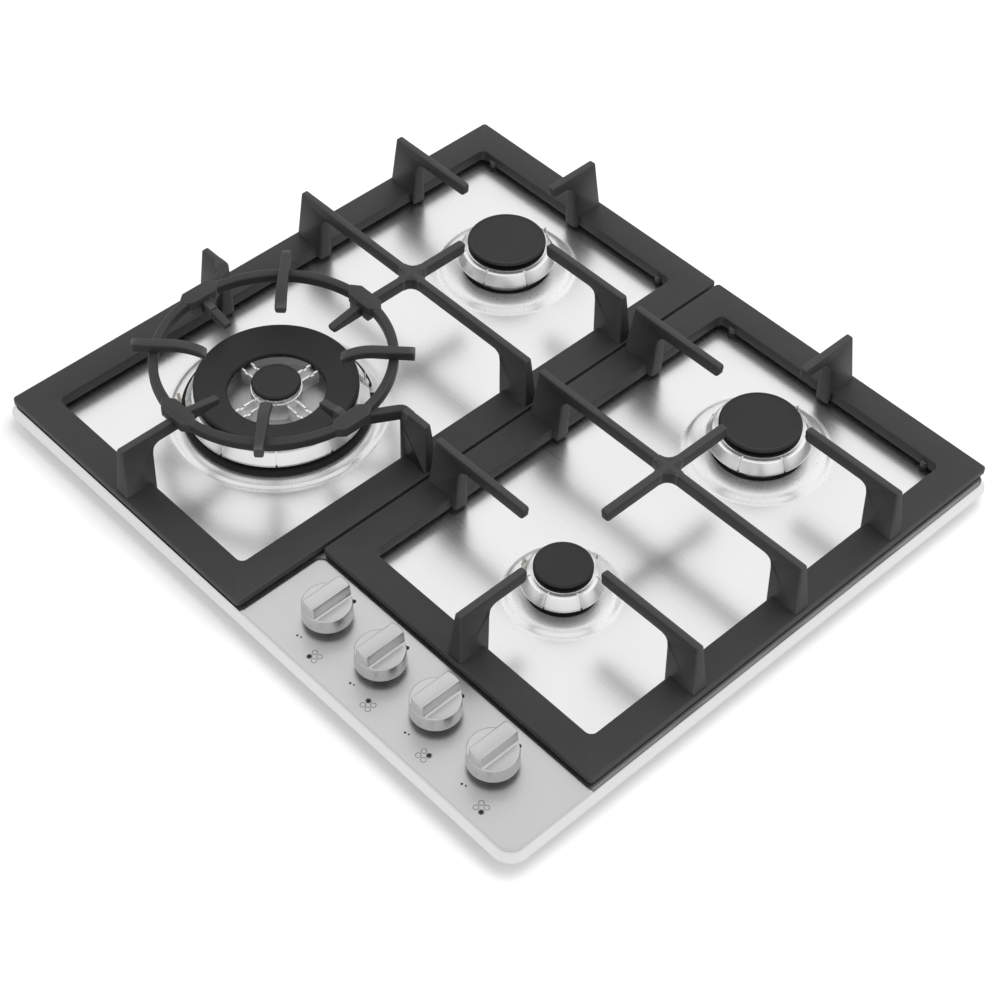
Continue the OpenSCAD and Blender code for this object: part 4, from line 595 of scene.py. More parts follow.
# edges are left, right, front and back; bars are the widths of the frame's bars in the same order
grate = {"round": 3, "window": 5.5, "lip": 4, "lipDrop": 4.5, "edge": 1.1, "fin": 7, "finEdge": 1.5,
         "legWide": 7, "legTaper": 2.5, "legUp": 2.5, "deep": 11, "lean": 5.7, "undercut": 1.5,
         "tipSlant": 1.5, "star": 9, "slim": 0.86, "swell": 0.15, "flare": 0.95, "flarePower": 1.4,
         "postEnd": 15, "postFade": 13, "legFlare": (0.1, 0.7)}
leftEdges, leftBars = (-281.5, -1.2, -250.5, 253.5), (26, 27.5, 26, 26)
rightEdges, rightBars = (1.2, 281.5, -171.8, 253.5), (27.5, 26, 26, 26)
# how far each burner's fingers stay from its axis, and how a finger under the pan falls
tips = {"rearLeft": 48.5, "rearRight": 43.5, "aux": 39, "wok": 56, "fall": 5, "flat": 26}
crank = {"start": 116, "turn": 107, "straight": 85, "end": 74, "tipStart": 86, "round": 5}
peg = {"in": 13, "front": 1.5, "back": 0.5, "low": 45.75, "high": 52.6, "radius": 3, "chamfer": 0.4}


def frameParts(edges, bars):
    # the bar's section runs up the outer side, over the top, down into the window and back underneath
    lo, hi, e, lip = level["frameLow"], level["frameTop"], grate["edge"], grate["lip"]
    inner = (edges[0] + bars[0], edges[1] - bars[1], edges[2] + bars[2], edges[3] - bars[3])
    arc = np.linspace(0, np.pi / 2, 4)
    low = lo - grate["lipDrop"]
    # each row is (0 outer or 1 window, distance into the bar, height)
    profile = [(0, 0.7, lo), (0, 0, lo + 0.7)]
    profile += [(0, e * (1 - math.cos(t)), hi - e * (1 - math.sin(t))) for t in arc]
    profile += [(1, e * (1 - math.sin(t)), hi - e * (1 - math.cos(t))) for t in arc]
    profile += [(1, 0, low + 0.6), (1, 0.6, low), (1, lip - 0.6, low), (1, lip, low + 0.6), (1, lip, lo)]
    rings = []
    for which, into, z in profile:
        box, grow, radius = (inner, into, grate["window"]) if which else (edges, -into, grate["round"])
        spot = roundRect(box[0] - grow, box[1] + grow, box[2] - grow, box[3] + grow, radius + grow, 9)
        rings.append(levelRing(spot, z))
    return [loft(rings, closed=True)]


def finWiden(bar, flare):
    # a fin is a little slimmer at its top; its post flares out towards the frame by a power of the drop,
    # and so does the leg inside the bar
    def share(along, up):
        post = np.clip((grate["postEnd"] - along) / grate["postFade"], 0, 1)
        drop = np.clip((level["finger"] - up) / (level["finger"] - level["frameTop"]), 0, 1.2)
        below = np.clip((level["finger"] - grate["deep"] - 2 - up) / 3, 0, 1)
        leg = np.clip((along - bar + 1) / 1.5, 0, 1) * below
        body = grate["slim"] + grate["swell"] * np.clip(drop * 4, 0, 1)
        low, high = grate["legFlare"]
        return body + flare * post * drop ** grate["flarePower"] + leg * (low + (high - low) * drop)
    return share


def finPart(edges, bars, side, place, reach, fall=0):
    # post, finger and leg seen from the side, counter-clockwise; side is 0 left, 1 right, 2 front, 3 back,
    # and reach is measured from that edge
    top, low, foot, w = level["finger"], level["well"] + grate["legUp"], level["frameTop"] - 3, bars[side]
    under, leg, slant = top - grate["deep"], w + grate["legWide"], grate["tipSlant"]
    tip, tipRadii = [(reach - slant, under), (reach, top)], [3, 2.5]
    if fall:
        tip = [(reach + slant, under), (reach, top - fall), (reach - tips["flat"], top)]
        tipRadii = [3, 2.5, 6]
    points = [(w, low), (leg - grate["legTaper"], low), (leg, under - 0.01)] + tip
    points += [(grate["lean"], top), (grate["undercut"], foot + 2), (grate["undercut"], foot), (w, foot)]
    outline = filletOutline(points, [0.8, 0.8, 8] + tipRadii + [2, 1, 0.3, 0.3], 7)
    spot = [(edges[0], place), (edges[1], place), (place, edges[2]), (place, edges[3])][side]
    heading = (0, 180, 90, -90)[side]
    return slab(outline, grate["fin"], grate["finEdge"], spot, heading, finWiden(w, grate["flare"]))


def ribPart(x, y0, y1, fall=0):
    # a straight rib along Y with rounded tips; its front end may fall away under the pan
    top, under = level["finger"] - 0.04, level["finger"] - grate["deep"]
    points = [(y0 + grate["tipSlant"], under), (y1 - grate["tipSlant"], under), (y1, top)]
    points += ([(y0 + tips["flat"], top)] if fall else []) + [(y0, top - fall)]
    radii = [3, 3, 2.5] + ([6] if fall else []) + [2.5]
    return slab(filletOutline(points, radii, 7), grate["fin"] * 0.97, grate["finEdge"], (x, 0), 90)


def crossFillet(x, y):
    # a four-pointed star whose sides are quarter circles fills the corners of the crossing
    size = grate["star"]
    far = grate["fin"] / 2 + size
    t = np.linspace(0, np.pi / 2, 8)
    quarter = np.stack([far - size * np.sin(t), far - size * np.cos(t)], -1)
    outline = np.vstack([quarter @ turnMatrix(90 * i).T for i in range(4)])
    top, under = level["finger"] - 0.1, level["finger"] - grate["deep"] + 0.1
    return loft([levelRing(outline * s + (x, y), z) for s, z in
                 ((0.9, under), (1, under + 1.2), (1, top - 1.2), (0.95, top - 0.3), (0.88, top))])


def crankPart(side):
    # from the post the finger turns towards the burner and then runs straight to its axis
    plan = [(crank["start"], crankY), (crank["turn"], crankY),
            (crank["straight"], wokY), (crank["end"], wokY)]
    path = filletPath([(wokCentre[0] + side * x, y) for x, y in plan], crank["round"], 7)
    half, z0, z1 = grate["fin"] / 2, level["finger"] - grate["deep"] + 0.03, level["finger"] - 0.05
    section = filletOutline([(-half, z0), (half, z0), (half, z1), (-half, z1)], grate["finEdge"], 5)
    return sweep(levelRing(path, 0), section)


def wokTip(heading):
    # the finger's inner end, whose top falls away under the pan
    top, under = level["finger"], level["finger"] - grate["deep"]
    points = [(tips["wok"] + grate["tipSlant"], under), (crank["tipStart"], under), (crank["tipStart"], top),
              (tips["wok"] + tips["flat"], top), (tips["wok"], top - tips["fall"])]
    outline = filletOutline(points, [3, 0.3, 0.3, 8, 3], 7)
    return slab(outline, grate["fin"] * 0.98, grate["finEdge"], wokCentre, heading)


def pegParts(edges, bars):
    # four short pegs under the frame's corners carry the rubber feet
    r, low, high, c = peg["radius"], peg["low"], peg["high"], peg["chamfer"]
    profile = [(0, low), (r - c, low), (r, low + 0.35), (r, high), (0, high)]
    return [revolve(profile, (x, y), 24, closed=False)
            for x in (edges[0] + bars[0] + peg["in"], edges[1] - bars[1] - peg["in"])
            for y in (edges[2] + bars[2] - peg["front"], edges[3] - bars[3] + peg["back"])]


def grateParts(edges, bars, x, rearTip):
    # the frame, its pegs, the rear burner's three fingers and the two fins of the cross
    parts = frameParts(edges, bars) + pegParts(edges, bars)
    for y, gap in ((rearY, rearTip), (crossY, 0)):
        parts += [finPart(edges, bars, 0, y, x - gap - edges[0]),
                  finPart(edges, bars, 1, y, edges[1] - x - gap)]
    return parts + [finPart(edges, bars, 3, x, edges[3] - rearY - rearTip), crossFillet(x, crossY)]


def leftGrateParts():
    # beside the wok burner the fins turn at the crank, and the two middle tips fall away under the pan
    e, x = leftEdges, -columnX
    return grateParts(e, leftBars, x, tips["rearLeft"]) + [
        finPart(e, leftBars, 2, x, wokY - tips["wok"] - e[2], fall=tips["fall"]),
        finPart(e, leftBars, 0, crankY, x - crank["turn"] - e[0]),
        finPart(e, leftBars, 1, crankY, e[1] - x - crank["turn"]),
        ribPart(x, wokY + tips["wok"], rearY - tips["rearLeft"], fall=tips["fall"]),
        crankPart(-1), crankPart(1), wokTip(0), wokTip(180)]


def rightGrateParts():
    # the front burner's three fingers are like the rear one's
    e, x, gap = rightEdges, columnX, tips["aux"]
    return grateParts(e, rightBars, x, tips["rearRight"]) + [
        finPart(e, rightBars, 0, auxY, x - gap - e[0]), finPart(e, rightBars, 1, auxY, e[1] - x - gap),
        finPart(e, rightBars, 2, x, auxY - gap - e[2]), ribPart(x, auxY + gap, rearY - tips["rearRight"])]


for name, parts in (("left_grate", leftGrateParts()), ("right_grate", rightGrateParts())):
    makePiece(name + "_casting", parts, ["castIron"], name + "_body", [name])
print("grates made")

stand = {"out": 96, "wide": 7.5, "deep": 9, "low": 1.6, "round": 2.2, "tip": 51, "end": 109.5, "finger": 9.5,
         "fingerEdge": 1.7, "slim": 2, "up": 8, "fall": 9, "fallShare": 0.45, "tipDeep": 6.5, "endDeep": 9.5,
         "padHalf": 7, "padFlat": 11.5, "padReach": 20, "padUp": 0.8, "padEdge": 1.3, "lugIn": 3.9,
         "lugOut": 11, "lugDrop": 6}


def standFinger(heading):
    # the top is level outside and falls by a square law towards the burner; the underside follows it
    count = 22
    t = np.linspace(0, 1, count)
    r = stand["tip"] + (stand["end"] - stand["tip"]) * t
    up = level["ring"] + stand["up"] - stand["fall"] * np.clip(1 - t / stand["fallShare"], 0, 1) ** 2
    low = up - stand["tipDeep"] - (stand["endDeep"] - stand["tipDeep"]) * t
    outline = np.vstack([np.column_stack([r, low]), np.column_stack([r[::-1], up[::-1]])])
    # the four corners are drawn in a little
    for i, shift in ((0, (1.2, 0)), (-1, (0.5, -0.6)), (count - 1, (-0.8, 0.3)), (count, (-0.6, -0.5))):
        outline[i] += shift

    def slim(along, up):
        return 1 - stand["slim"] / stand["finger"] * (along - stand["tip"]) / (stand["end"] - stand["tip"])
    return slab(outline, stand["finger"], stand["fingerEdge"], wokCentre, heading, slim)


def standPad(heading):
    # a six-sided pad with soft edges sits on the ring over each grate finger, two lugs straddle the finger
    mid = stand["out"] - stand["wide"] / 2

    def placed(outline, z):
        return levelRing((outline + (mid, 0)) @ turnMatrix(heading).T + wokCentre, z)
    h, f, tip, e = stand["padHalf"], stand["padFlat"], stand["padReach"], stand["padEdge"]
    outline = filletOutline([(-h, -f), (0, -tip), (h, -f), (h, f), (0, tip), (-h, f)], 1.5, 4)
    z0, z1 = level["ring"] - stand["deep"], level["ring"] + stand["padUp"]
    arc = np.linspace(0, np.pi / 2, 4)
    rings = [placed(insetOutline(outline, e * (1 - math.sin(t))), z0 + e * (1 - math.cos(t))) for t in arc]
    rings += [placed(insetOutline(outline, e * (1 - math.cos(t))), z1 - e * (1 - math.sin(t))) for t in arc]
    parts = [loft(rings)]
    for s in (-1, 1):
        near, far = sorted((s * stand["lugIn"], s * stand["lugOut"]))
        lug = filletOutline([(0.2 - h, near), (-1, near), (-1, far), (0.2 - h, far)], 0.8, 4)
        low = z0 - stand["lugDrop"]
        steps = ((0.8, low), (0, low + 0.9), (0, z0 + 2))
        parts.append(loft([placed(insetOutline(lug, inset), z) for inset, z in steps]))
    return parts


def standParts():
    # the ring is a rounded square section turned about the burner; fingers stand at 45 degrees between pads
    o, i = stand["out"], stand["out"] - stand["wide"]
    z0, z1, low, high = level["ring"] - stand["deep"], level["ring"], stand["low"], stand["round"]
    section = filletOutline([(i, z0), (o, z0), (o, z1), (i, z1)], [low, low, high, high], 5)
    parts = [revolve(section, wokCentre, 144)]
    parts += [standFinger(a) for a in (45, 135, 225, 315)]
    for a in (0, 90, 180, 270):
        parts += standPad(a)
    return parts


makePiece("wok_stand_casting", standParts(), ["castIron"], "wok_stand_body", ["wok_stand"])
print("wok stand made")

# heights are measured from the seat's level; a cut is (angle, half its width as an arc)
spreader = {"slots": 7, "slotStart": 84, "slotWide": 1.4, "slotDeep": 2, "ports": 24, "portWide": 1.3,
            "portDeep": 1.7, "low": 10, "high": 20.5, "baseIn": 4.2, "baseTop": 4.6, "teethIn": 0.5,
            "teethUp": 1.8}
wokSpreader = {"slots": 10, "slotStart": 32, "slotWide": 1.4, "slotDeep": 1.6, "ports": 36, "portWide": 1.4,
               "portDeep": 2, "high": 18, "rodGap": 4.4, "baseOut": 3.5, "wallIn": 2.5, "floor": 5.5,
               "tube": 39.4, "crown": 19.4, "crownBase": 20.4, "crownTop": 24.9, "crownPorts": 18,
               "crownPortWide": 1.2}
wokArm = {"bed": 11, "bedTop": 15, "rail": 2.2, "railTop": 18, "apart": 4.5, "start": 16, "end": 38.2}
cap = {"up": 22.5, "thick": 5.6, "wall": 4.2, "wokUp": 21.2, "wokHole": 38.7, "wokRim": 7, "centreUp": 25.2,
       "centreThick": 4, "notch": 0.75, "notchDeep": 1.2}


def evenCuts(count, start, wide):
    # evenly spaced cuts, each its angle and half its width
    return [(math.radians(start + i * 360 / count), wide / 2) for i in range(count)]


def cutAngles(count, cuts, radius):
    # even angles plus a close pair on both sides of each cut
    even = np.linspace(0, 2 * np.pi, count, endpoint=False)
    extra = [centre + side * half / radius for centre, half in cuts for side in (-1.15, -0.9, 0.9, 1.15)]
    return np.unique(np.round(np.concatenate([even, np.array(extra) % (2 * np.pi)]), 5))


def cutMask(a, cuts, radius):
    # 1 inside a cut, 0 outside
    mask = np.zeros(a.shape)
    for centre, half in cuts:
        away = np.abs((a - centre + np.pi) % (2 * np.pi) - np.pi)
        mask = np.maximum(mask, (away < half / radius).astype(float))
    return mask


def rowPlaces(body, rows, b):
    # height and radius of each row of a turned profile, read at a column clear of the cuts
    column = body[0].reshape(rows, -1, 3)[:, 3]
    return column[:, 2], np.hypot(column[:, 0] - b["x"], column[:, 1] - b["y"])


def splitMarks(body, second, third=None):
    # the rows marked second take the second finish, those marked third the third, the rest the first
    points, faces, _ = body
    quads = faces[0]
    row = quads[:, 0] // (len(points) // len(second))
    other = (row + 1) % len(second)
    third = np.zeros(len(second), bool) if third is None else third
    mark = np.where(second[row] & second[other], 1, np.where(third[row] & third[other], 2, 0))
    return [(points, [quads[mark == m]], m) for m in (0, 1, 2)]


def smallSpreaderParts(b):
    # one profile from the tube over a base, polished skirt and port wall; slots cut the skirt and
    # ports the wall's top; the base's lower band and the wall's top take a near-black finish as painted shade
    s, size = level["seat"], spreader
    tube, base, foot, top = b["hole"] - 0.6, b["skirt"] - size["baseIn"], b["skirt"], b["top"]
    teeth, low, high = b["cap"] - size["teethIn"], s + size["low"], s + size["high"]
    slots = evenCuts(size["slots"], size["slotStart"], size["slotWide"])
    ports = evenCuts(size["ports"], 0, size["portWide"])
    outline = [(tube - 3, s - 4), (tube, s - 4), (tube, s + 6), (base - 3.5, s + 6), (base - 3.5, s + 0.3),
               (base, s + 0.3), (base, s + size["baseTop"]), (base, low + 0.2), (foot - 1.2, low),
               (foot, low + 0.8), (foot - 0.4, low + 1.9), (top + 0.6, high - 0.9), (top - 0.7, high),
               (teeth + 0.9, high), (teeth, high + 0.3), (teeth, high + size["teethUp"]),
               (teeth - 5, high + size["teethUp"]), (teeth - 5, high), (tube - 3, high)]
    radii = [0.3, 0.3, 0.5, 0.5, 0.3, 0.5, 0.1, 0.3, 0.3, 0.4, 0.6, 0.7, 0.5, 0.4, 0.4, 0.2, 0.2, 0.3, 0.5]
    profile = filletOutline(outline, radii, 3)

    def move(a, r, z):
        slot = cutMask(a, slots, foot) * ((z > low - 0.1) & (z < high + 0.05) & (r > teeth + 1.3))
        port = cutMask(a, ports, foot) * ((z > high + 1) & (r > teeth - 5.3))
        return r - size["slotDeep"] * slot, z - size["portDeep"] * port
    angles = cutAngles(120, slots + ports, foot)
    body = revolve(profile, (b["x"], b["y"]), angles=angles, move=move)
    heights, reach = rowPlaces(body, len(profile), b)
    wall = (reach < teeth + 0.25) & (reach > teeth - 2)
    shiny = (reach > teeth - 0.5) & (heights > s + size["baseTop"] - 0.2) & (heights < high + 0.5) & ~wall
    # the base's lower band and the port wall under the cap are painted near-black as shade
    paintedShadeRows = (heights < s + size["baseTop"] + 0.1) | ((heights > high - 0.1) & wall)
    return splitMarks(body, shiny, paintedShadeRows)


def capProfile(r, z0, thick, rimWide):
    # rounded outer edge, a soft bead and a top that lies a hair lower inside it
    top, deep = z0 + thick, 0.45
    return [(0, z0), (r - 0.8, z0), (r, z0 + 0.8), (r, top - 1.5), (r - 1.3, top), (r - rimWide, top),
            (r - rimWide - 1.6, top - deep), (0, top - deep * 0.8)]


def smallCapParts(b):
    # the profile is turned about the burner, and the rows of its wall take the blacker finish as painted
    # shade
    z0 = level["seat"] + cap["up"]
    shaped = filletOpen(capProfile(b["cap"], z0, cap["thick"], 2.2), [0, 0.5, 0.8, 1.4, 1.4, 1.2, 1.5, 0])
    body = revolve(shaped, (b["x"], b["y"]), 128, closed=False)
    return splitMarks(body, rowPlaces(body, len(shaped), b)[0] < z0 + cap["wall"])


def wokSpreaderParts(b):
    # the outer ring is one turned profile with slots, ports and room for igniter and thermocouple; a floor,
    # a tube, a crown with ports and four arms fill its middle
    s, size, centre = level["seat"], wokSpreader, (b["x"], b["y"])
    foot, top, hole, gap = b["skirt"], b["top"], cap["wokHole"], wokSpreader["rodGap"]
    base, wall, inner, high = foot + size["baseOut"], b["cap"] - size["wallIn"], hole + 3.5, s + size["high"]
    slots = evenCuts(size["slots"], size["slotStart"], size["slotWide"])
    ports = evenCuts(size["ports"], 0, size["portWide"])
    rods = [(math.radians(angle), gap) for angle, _ in (b["spark"], b["probe"])]
    outline = [(base - 16, s + 0.3), (base, s + 0.3), (base, s + 4.5), (foot - 3.5, s + 4.5),
               (foot - 3.5, s + 7.2), (foot - 0.9, s + 7), (foot, s + 7.9), (foot - 0.5, s + 9),
               (top + 0.5, high - 0.9), (top - 0.6, high), (wall, high), (wall, high + 3), (inner, high - 1),
               (inner, s + 3), (base - 16, s + 3)]
    radii = [0.3, 0.6, 0.8, 0.5, 0.3, 0.3, 0.5, 0.6, 0.6, 0.5, 0.3, 0.5, 0.6, 1.5, 0.3]
    profile = filletOutline(outline, radii, 3)

    def move(a, r, z):
        slot = cutMask(a, slots, foot) * ((z > s + 6.8) & (z < high + 0.1) & (r > wall + 1))
        port = cutMask(a, ports, foot) * ((z > high + 2) & (r > wall - 4))
        drawn = r - slot * size["slotDeep"]
        for rod, (_, place) in zip(rods, (b["spark"], b["probe"])):
            near = cutMask(a, [rod], foot) * (r > place - gap)
            drawn = np.where(near > 0, np.minimum(drawn, place - gap), drawn)
        return drawn, z - port * size["portDeep"]
    body = revolve(profile, centre, angles=cutAngles(180, slots + ports + rods, foot), move=move)
    heights, reach = rowPlaces(body, len(profile), b)
    # dark marks the ring's lower band, which is painted near-black as shade under the skirt
    shiny, dark = (reach > wall + 0.2) & (heights > s + 7.2), (heights < s + 7.2) & (reach > foot - 8)
    parts = splitMarks(body, shiny, dark)
    rim, bottom = inner + 0.5, s + size["floor"]
    floor = [(0, s + 3), (rim, s + 3), (rim, bottom), (30, bottom), (0, bottom)]
    parts.append(revolve(floor, centre, 96, closed=False))
    r = size["tube"]
    tube = filletOpen([(0, s - 4), (r, s - 4), (r, s + 3.5), (0, s + 3.5)], [0, 0.4, 0.4, 0], 3)
    parts.append(revolve(tube, centre, 64, closed=False))
    r, r2, z = size["crown"], size["crownBase"], s + size["crownTop"]
    crown = filletOpen([(0, s + 4), (r2, s + 4), (r2, s + 22), (r, s + 22), (r, z), (0, z)],
                       [0, 0.3, 0.6, 0.3, 0.5, 0], 4)
    crownPorts = evenCuts(size["crownPorts"], 0, size["crownPortWide"])

    def notch(a, r, z):
        cut = cutMask(a, crownPorts, size["crown"]) * ((z > s + 22.2) & (r > 17))
        return r - cut * 2, z
    angles = cutAngles(72, crownPorts, size["crown"])
    parts.append(revolve(crown, centre, angles=angles, move=notch, closed=False, mark=1))
    for heading in (0, 90, 180, 270):
        parts += wokArmParts(centre, heading, inner + 0.8, s)
    return parts


def wokArmParts(centre, heading, bedEnd, s):
    # a trough with two raised edges runs from the crown to the ring; a notched post ends each edge in the
    # cap's hole
    start, end, top, bedTop = wokArm["start"], wokArm["end"], s + wokArm["railTop"], s + wokArm["bedTop"]
    bed = filletOutline([(start, s + 4), (bedEnd, s + 4), (bedEnd, bedTop), (start, bedTop)], 0.6, 3)
    rail = filletOutline([(start, s + 5), (end, s + 5), (end, top), (end - 4.5, top), (end - 5.2, top - 1.6),
                          (end - 8, top - 1.6), (end - 8.7, top), (start, top)],
                         [0.5, 0.5, 0.8, 0.8, 0.6, 0.6, 0.8, 0.8], 4)
    parts = [slab(bed, wokArm["bed"], 0.8, centre, heading)]
    a = math.radians(heading)
    for side in (-wokArm["apart"], wokArm["apart"]):
        spot = (centre[0] - side * math.sin(a), centre[1] + side * math.cos(a))
        parts.append(slab(rail, wokArm["rail"], 0.7, spot, heading, mark=1))
    return parts


def wokRingParts(b):
    # a wide dish: its top falls from the bead outside to the lip at the hole, which has four groups of
    # notches below
    z0, hole, out = level["seat"] + cap["wokUp"], cap["wokHole"], b["cap"]
    rim = z0 + cap["wokRim"]
    outline = [(hole, z0 - 5), (hole + 3.5, z0 - 4), (out - 2.5, z0), (out - 0.6, z0), (out, z0 + 0.7),
               (out, rim - 1.5), (out - 1.2, rim), (out - 3, rim - 0.3), (hole + 3, z0 - 0.15),
               (hole + 0.8, z0 - 0.4), (hole, z0 - 1.3)]
    profile = filletOutline(outline, [0.3, 0.5, 0.5, 0.4, 0.6, 1.1, 1.2, 1.6, 2, 0.8, 0.6], 4)
    notches = [(math.radians(base + turn), cap["notch"])
               for base in (45, 135, 225, 315) for turn in (-9, -3.4, 3.4, 9)]

    def move(a, r, z):
        inside = cutMask(a, notches, hole) * ((z < z0 - 1.6) & (r < hole + 0.3) & (z > z0 - 4.9))
        return r + inside * cap["notchDeep"], z
    ring = revolve(profile, (b["x"], b["y"]), angles=cutAngles(144, notches, hole), move=move)
    heights, reach = rowPlaces(ring, len(profile), b)
    # the outer wall's rows take the blacker finish as painted shade
    return splitMarks(ring, (reach > out - 0.9) & (heights < rim - 1.4))


def wokCentreParts(b):
    # the same profile as the small caps', thinner
    profile = capProfile(wokSpreader["crown"], level["seat"] + cap["centreUp"], cap["centreThick"], 2)
    shaped = filletOpen(profile, [0, 0.5, 0.8, 1.2, 1.2, 1, 1.2, 0])
    return [revolve(shaped, (b["x"], b["y"]), 96, closed=False)]


def rodCentre(b, which):
    # the place of an igniter or thermocouple given as (angle, radius) about its burner
    a, r = math.radians(b[which][0]), b[which][1]
    return b["x"] + r * math.cos(a), b["y"] + r * math.sin(a)


def sparkParts(b):
    # ceramic tube with a rounded shoulder, a collar below the tray and a thin pin with a pointed tip
    centre, s = rodCentre(b, "spark"), level["seat"]
    top, tip = (s + up for up in b["sparkUp"])
    tube = filletOpen([(0, s - 12), (2.5, s - 12), (2.5, top - 5), (2.9, top - 4.4), (2.9, top - 3),
                       (1.9, top), (0, top)], [0, 0.3, 0.2, 0.3, 0.8, 0.9, 0], 4)
    pin = filletOpen([(0, top - 1), (0.8, top - 1), (0.8, tip - 0.6), (0, tip)], [0, 0.1, 0.5, 0], 3)
    collar = filletOpen([(0, s - 6.4), (3.9, s - 6.4), (3.9, s - 4), (0, s - 4)], [0, 0.3, 0.3, 0], 3)
    return [revolve(tube, centre, 28, closed=False), revolve(collar, centre, 28, closed=False),
            revolve(pin, centre, 16, closed=False, mark=1)]


def probeParts(b):
    # rod with a domed tip and a hexagonal nut below the tray
    centre, s = rodCentre(b, "probe"), level["seat"]
    top = s + b["probeTop"]
    rod = filletOpen([(0, s - 16), (2, s - 16), (2, top - 6), (1.5, top - 5), (1.5, top), (0, top)],
                     [0, 0.2, 0.4, 0.4, 1.2, 0])
    nut = filletOpen([(0, s - 8), (4.2, s - 8), (4.4, s - 7.6), (4.4, s - 4.4), (4.2, s - 4), (0, s - 4)],
                     [0, 0.1, 0.1, 0.1, 0.1, 0], 3)
    return [revolve(rod, centre, 24, closed=False), revolve(nut, centre, 6, closed=False)]


def makeBurners():
    # each spreader and cap rides its own body; igniters and thermocouples stay on the hob
    # the third metal finish and the second enamel finish are painted shade
    metal, enamel = ["cast", "polished", "paintedBurnerShade"], ["capEnamel", "capSide"]
    for name, b in burners.items():
        if name == "wok":
            makePiece("spreader_wok_body_metal", wokSpreaderParts(b), metal, "spreader_wok_body",
                      ["spreader_wok"], sharp=30)
            makePiece("cap_wok_ring_enamel", wokRingParts(b), enamel, "cap_wok_ring_body",
                      ["cap_wok_ring"])
            makePiece("cap_wok_centre_enamel", wokCentreParts(b), enamel[:1], "cap_wok_centre_body",
                      ["cap_wok_centre"])
        else:
            makePiece("spreader_metal_" + name, smallSpreaderParts(b), metal, "spreader_%s_body" % name,
                      ["spreader_" + name], sharp=30)
            makePiece("cap_enamel_" + name, smallCapParts(b), enamel, "cap_%s_body" % name,
                      ["cap_" + name])
    makePiece("spark_plugs", sum((sparkParts(b) for b in burners.values()), []), ["ceramic", "pin"],
              "hob", ["igniters"])
    makePiece("flame_probes", sum((probeParts(b) for b in burners.values()), []), ["copper"],
              "hob", ["thermocouples"])


makeBurners()
print("burners made")

# low and high are the skirt's radii, grip is half the bar's width, draft how much the bar slims upwards
knob = {"foot": 57, "shelf": 70, "top": 81, "low": 19, "high": 18, "grip": 6.5, "chamfer": 1.3, "fillet": 2.2,
        "draft": 0.4, "endDraft": 0.35, "wall": 16, "bore": 4.2, "hub": 7}


def gripRing(half, radius, z, x, steps=12):
    # straight sides at plus and minus half, closed by arcs of the knob's circle
    a = math.acos(min(half / radius, 0.999))
    front, back = np.linspace(-math.pi + a, -a, steps), np.linspace(a, math.pi - a, steps)
    reach = math.sin(a) * radius
    rightSide = np.column_stack([np.full(steps, half), np.linspace(-reach, reach, steps + 2)[1:-1]])
    arcs = [np.column_stack([np.cos(turn), np.sin(turn)]) * radius for turn in (front, back)]
    return levelRing(np.vstack([arcs[0], rightSide, arcs[1], -rightSide]) + (x, knobY), z)


def knobParts(x):
    # a turned body with a hub inside; the bar rises from it by a concave fillet, slims with height and ends
    # in a rounded chamfer
    foot, shelf, top = knob["foot"], knob["shelf"], knob["top"]
    low, high, wall, bore, hub = (knob[key] for key in ("low", "high", "wall", "bore", "hub"))
    body = filletOpen([(0, foot + 9), (wall, foot + 9), (wall + 0.2, foot + 0.4), (low - 0.4, foot),
                       (low, foot + 0.6), (high + 0.45, shelf), (0, shelf)], [0, 1, 0.3, 0.3, 0.5, 1.1, 0])
    inside = filletOpen([(0, foot + 0.9), (bore, foot + 0.9), (hub, foot + 1), (hub, foot + 10),
                         (0, foot + 10)], [0, 0.1, 0.3, 0.3, 0], 3)
    f, c, half, radius = knob["fillet"], knob["chamfer"], knob["grip"], high + knob["endDraft"]
    rings = [gripRing(half + f * (1 - math.sin(t)), radius, shelf - 0.1 + f * (1 - math.cos(t)), x)
             for t in np.linspace(0, np.pi / 2, 6)]
    rings += [gripRing(half - knob["draft"] * s, radius - knob["endDraft"] * s,
                       shelf + f + (top - c - shelf - f) * s, x) for s in (0.5, 1)]
    for t in np.linspace(0, np.pi / 2, 5)[1:]:
        inset = c * (1 - math.cos(t))
        rings.append(gripRing(half - knob["draft"] - inset, radius - knob["endDraft"] - inset,
                              top - c + c * math.sin(t), x))
    return [revolve(body, (x, knobY), 96, closed=False), revolve(inside, (x, knobY), 48, closed=False),
            loft(rings)]


for name, x in knobs.items():
    makePiece("knob_metal_" + name, knobParts(x), ["knob"], "knob_%s_body" % name, ["knob_" + name],
              sharp=28)
print("knobs made")

# fade is where the floor starts and ends paling for the camera, in metres; low and gloss are the strengths of
# the reflected sky at the horizon and at the height band, zenith is the share left at the top from dimFrom on
studio = {"floor": 0.86, "size": 12, "level": 28, "glow": 0.30, "fade": (0.9, 3), "world": 0.62, "low": 0.76,
          "gloss": 1.024, "band": 0.72, "dimFrom": 0.82, "zenith": 0.55}
lamps = {"keyLamp": {"place": (0.2, 0.6, 2.5), "size": 1.7, "power": 26},
         "fillLamp": {"place": (1.7, 0.9, 1.3), "size": 1.6, "power": 6}}


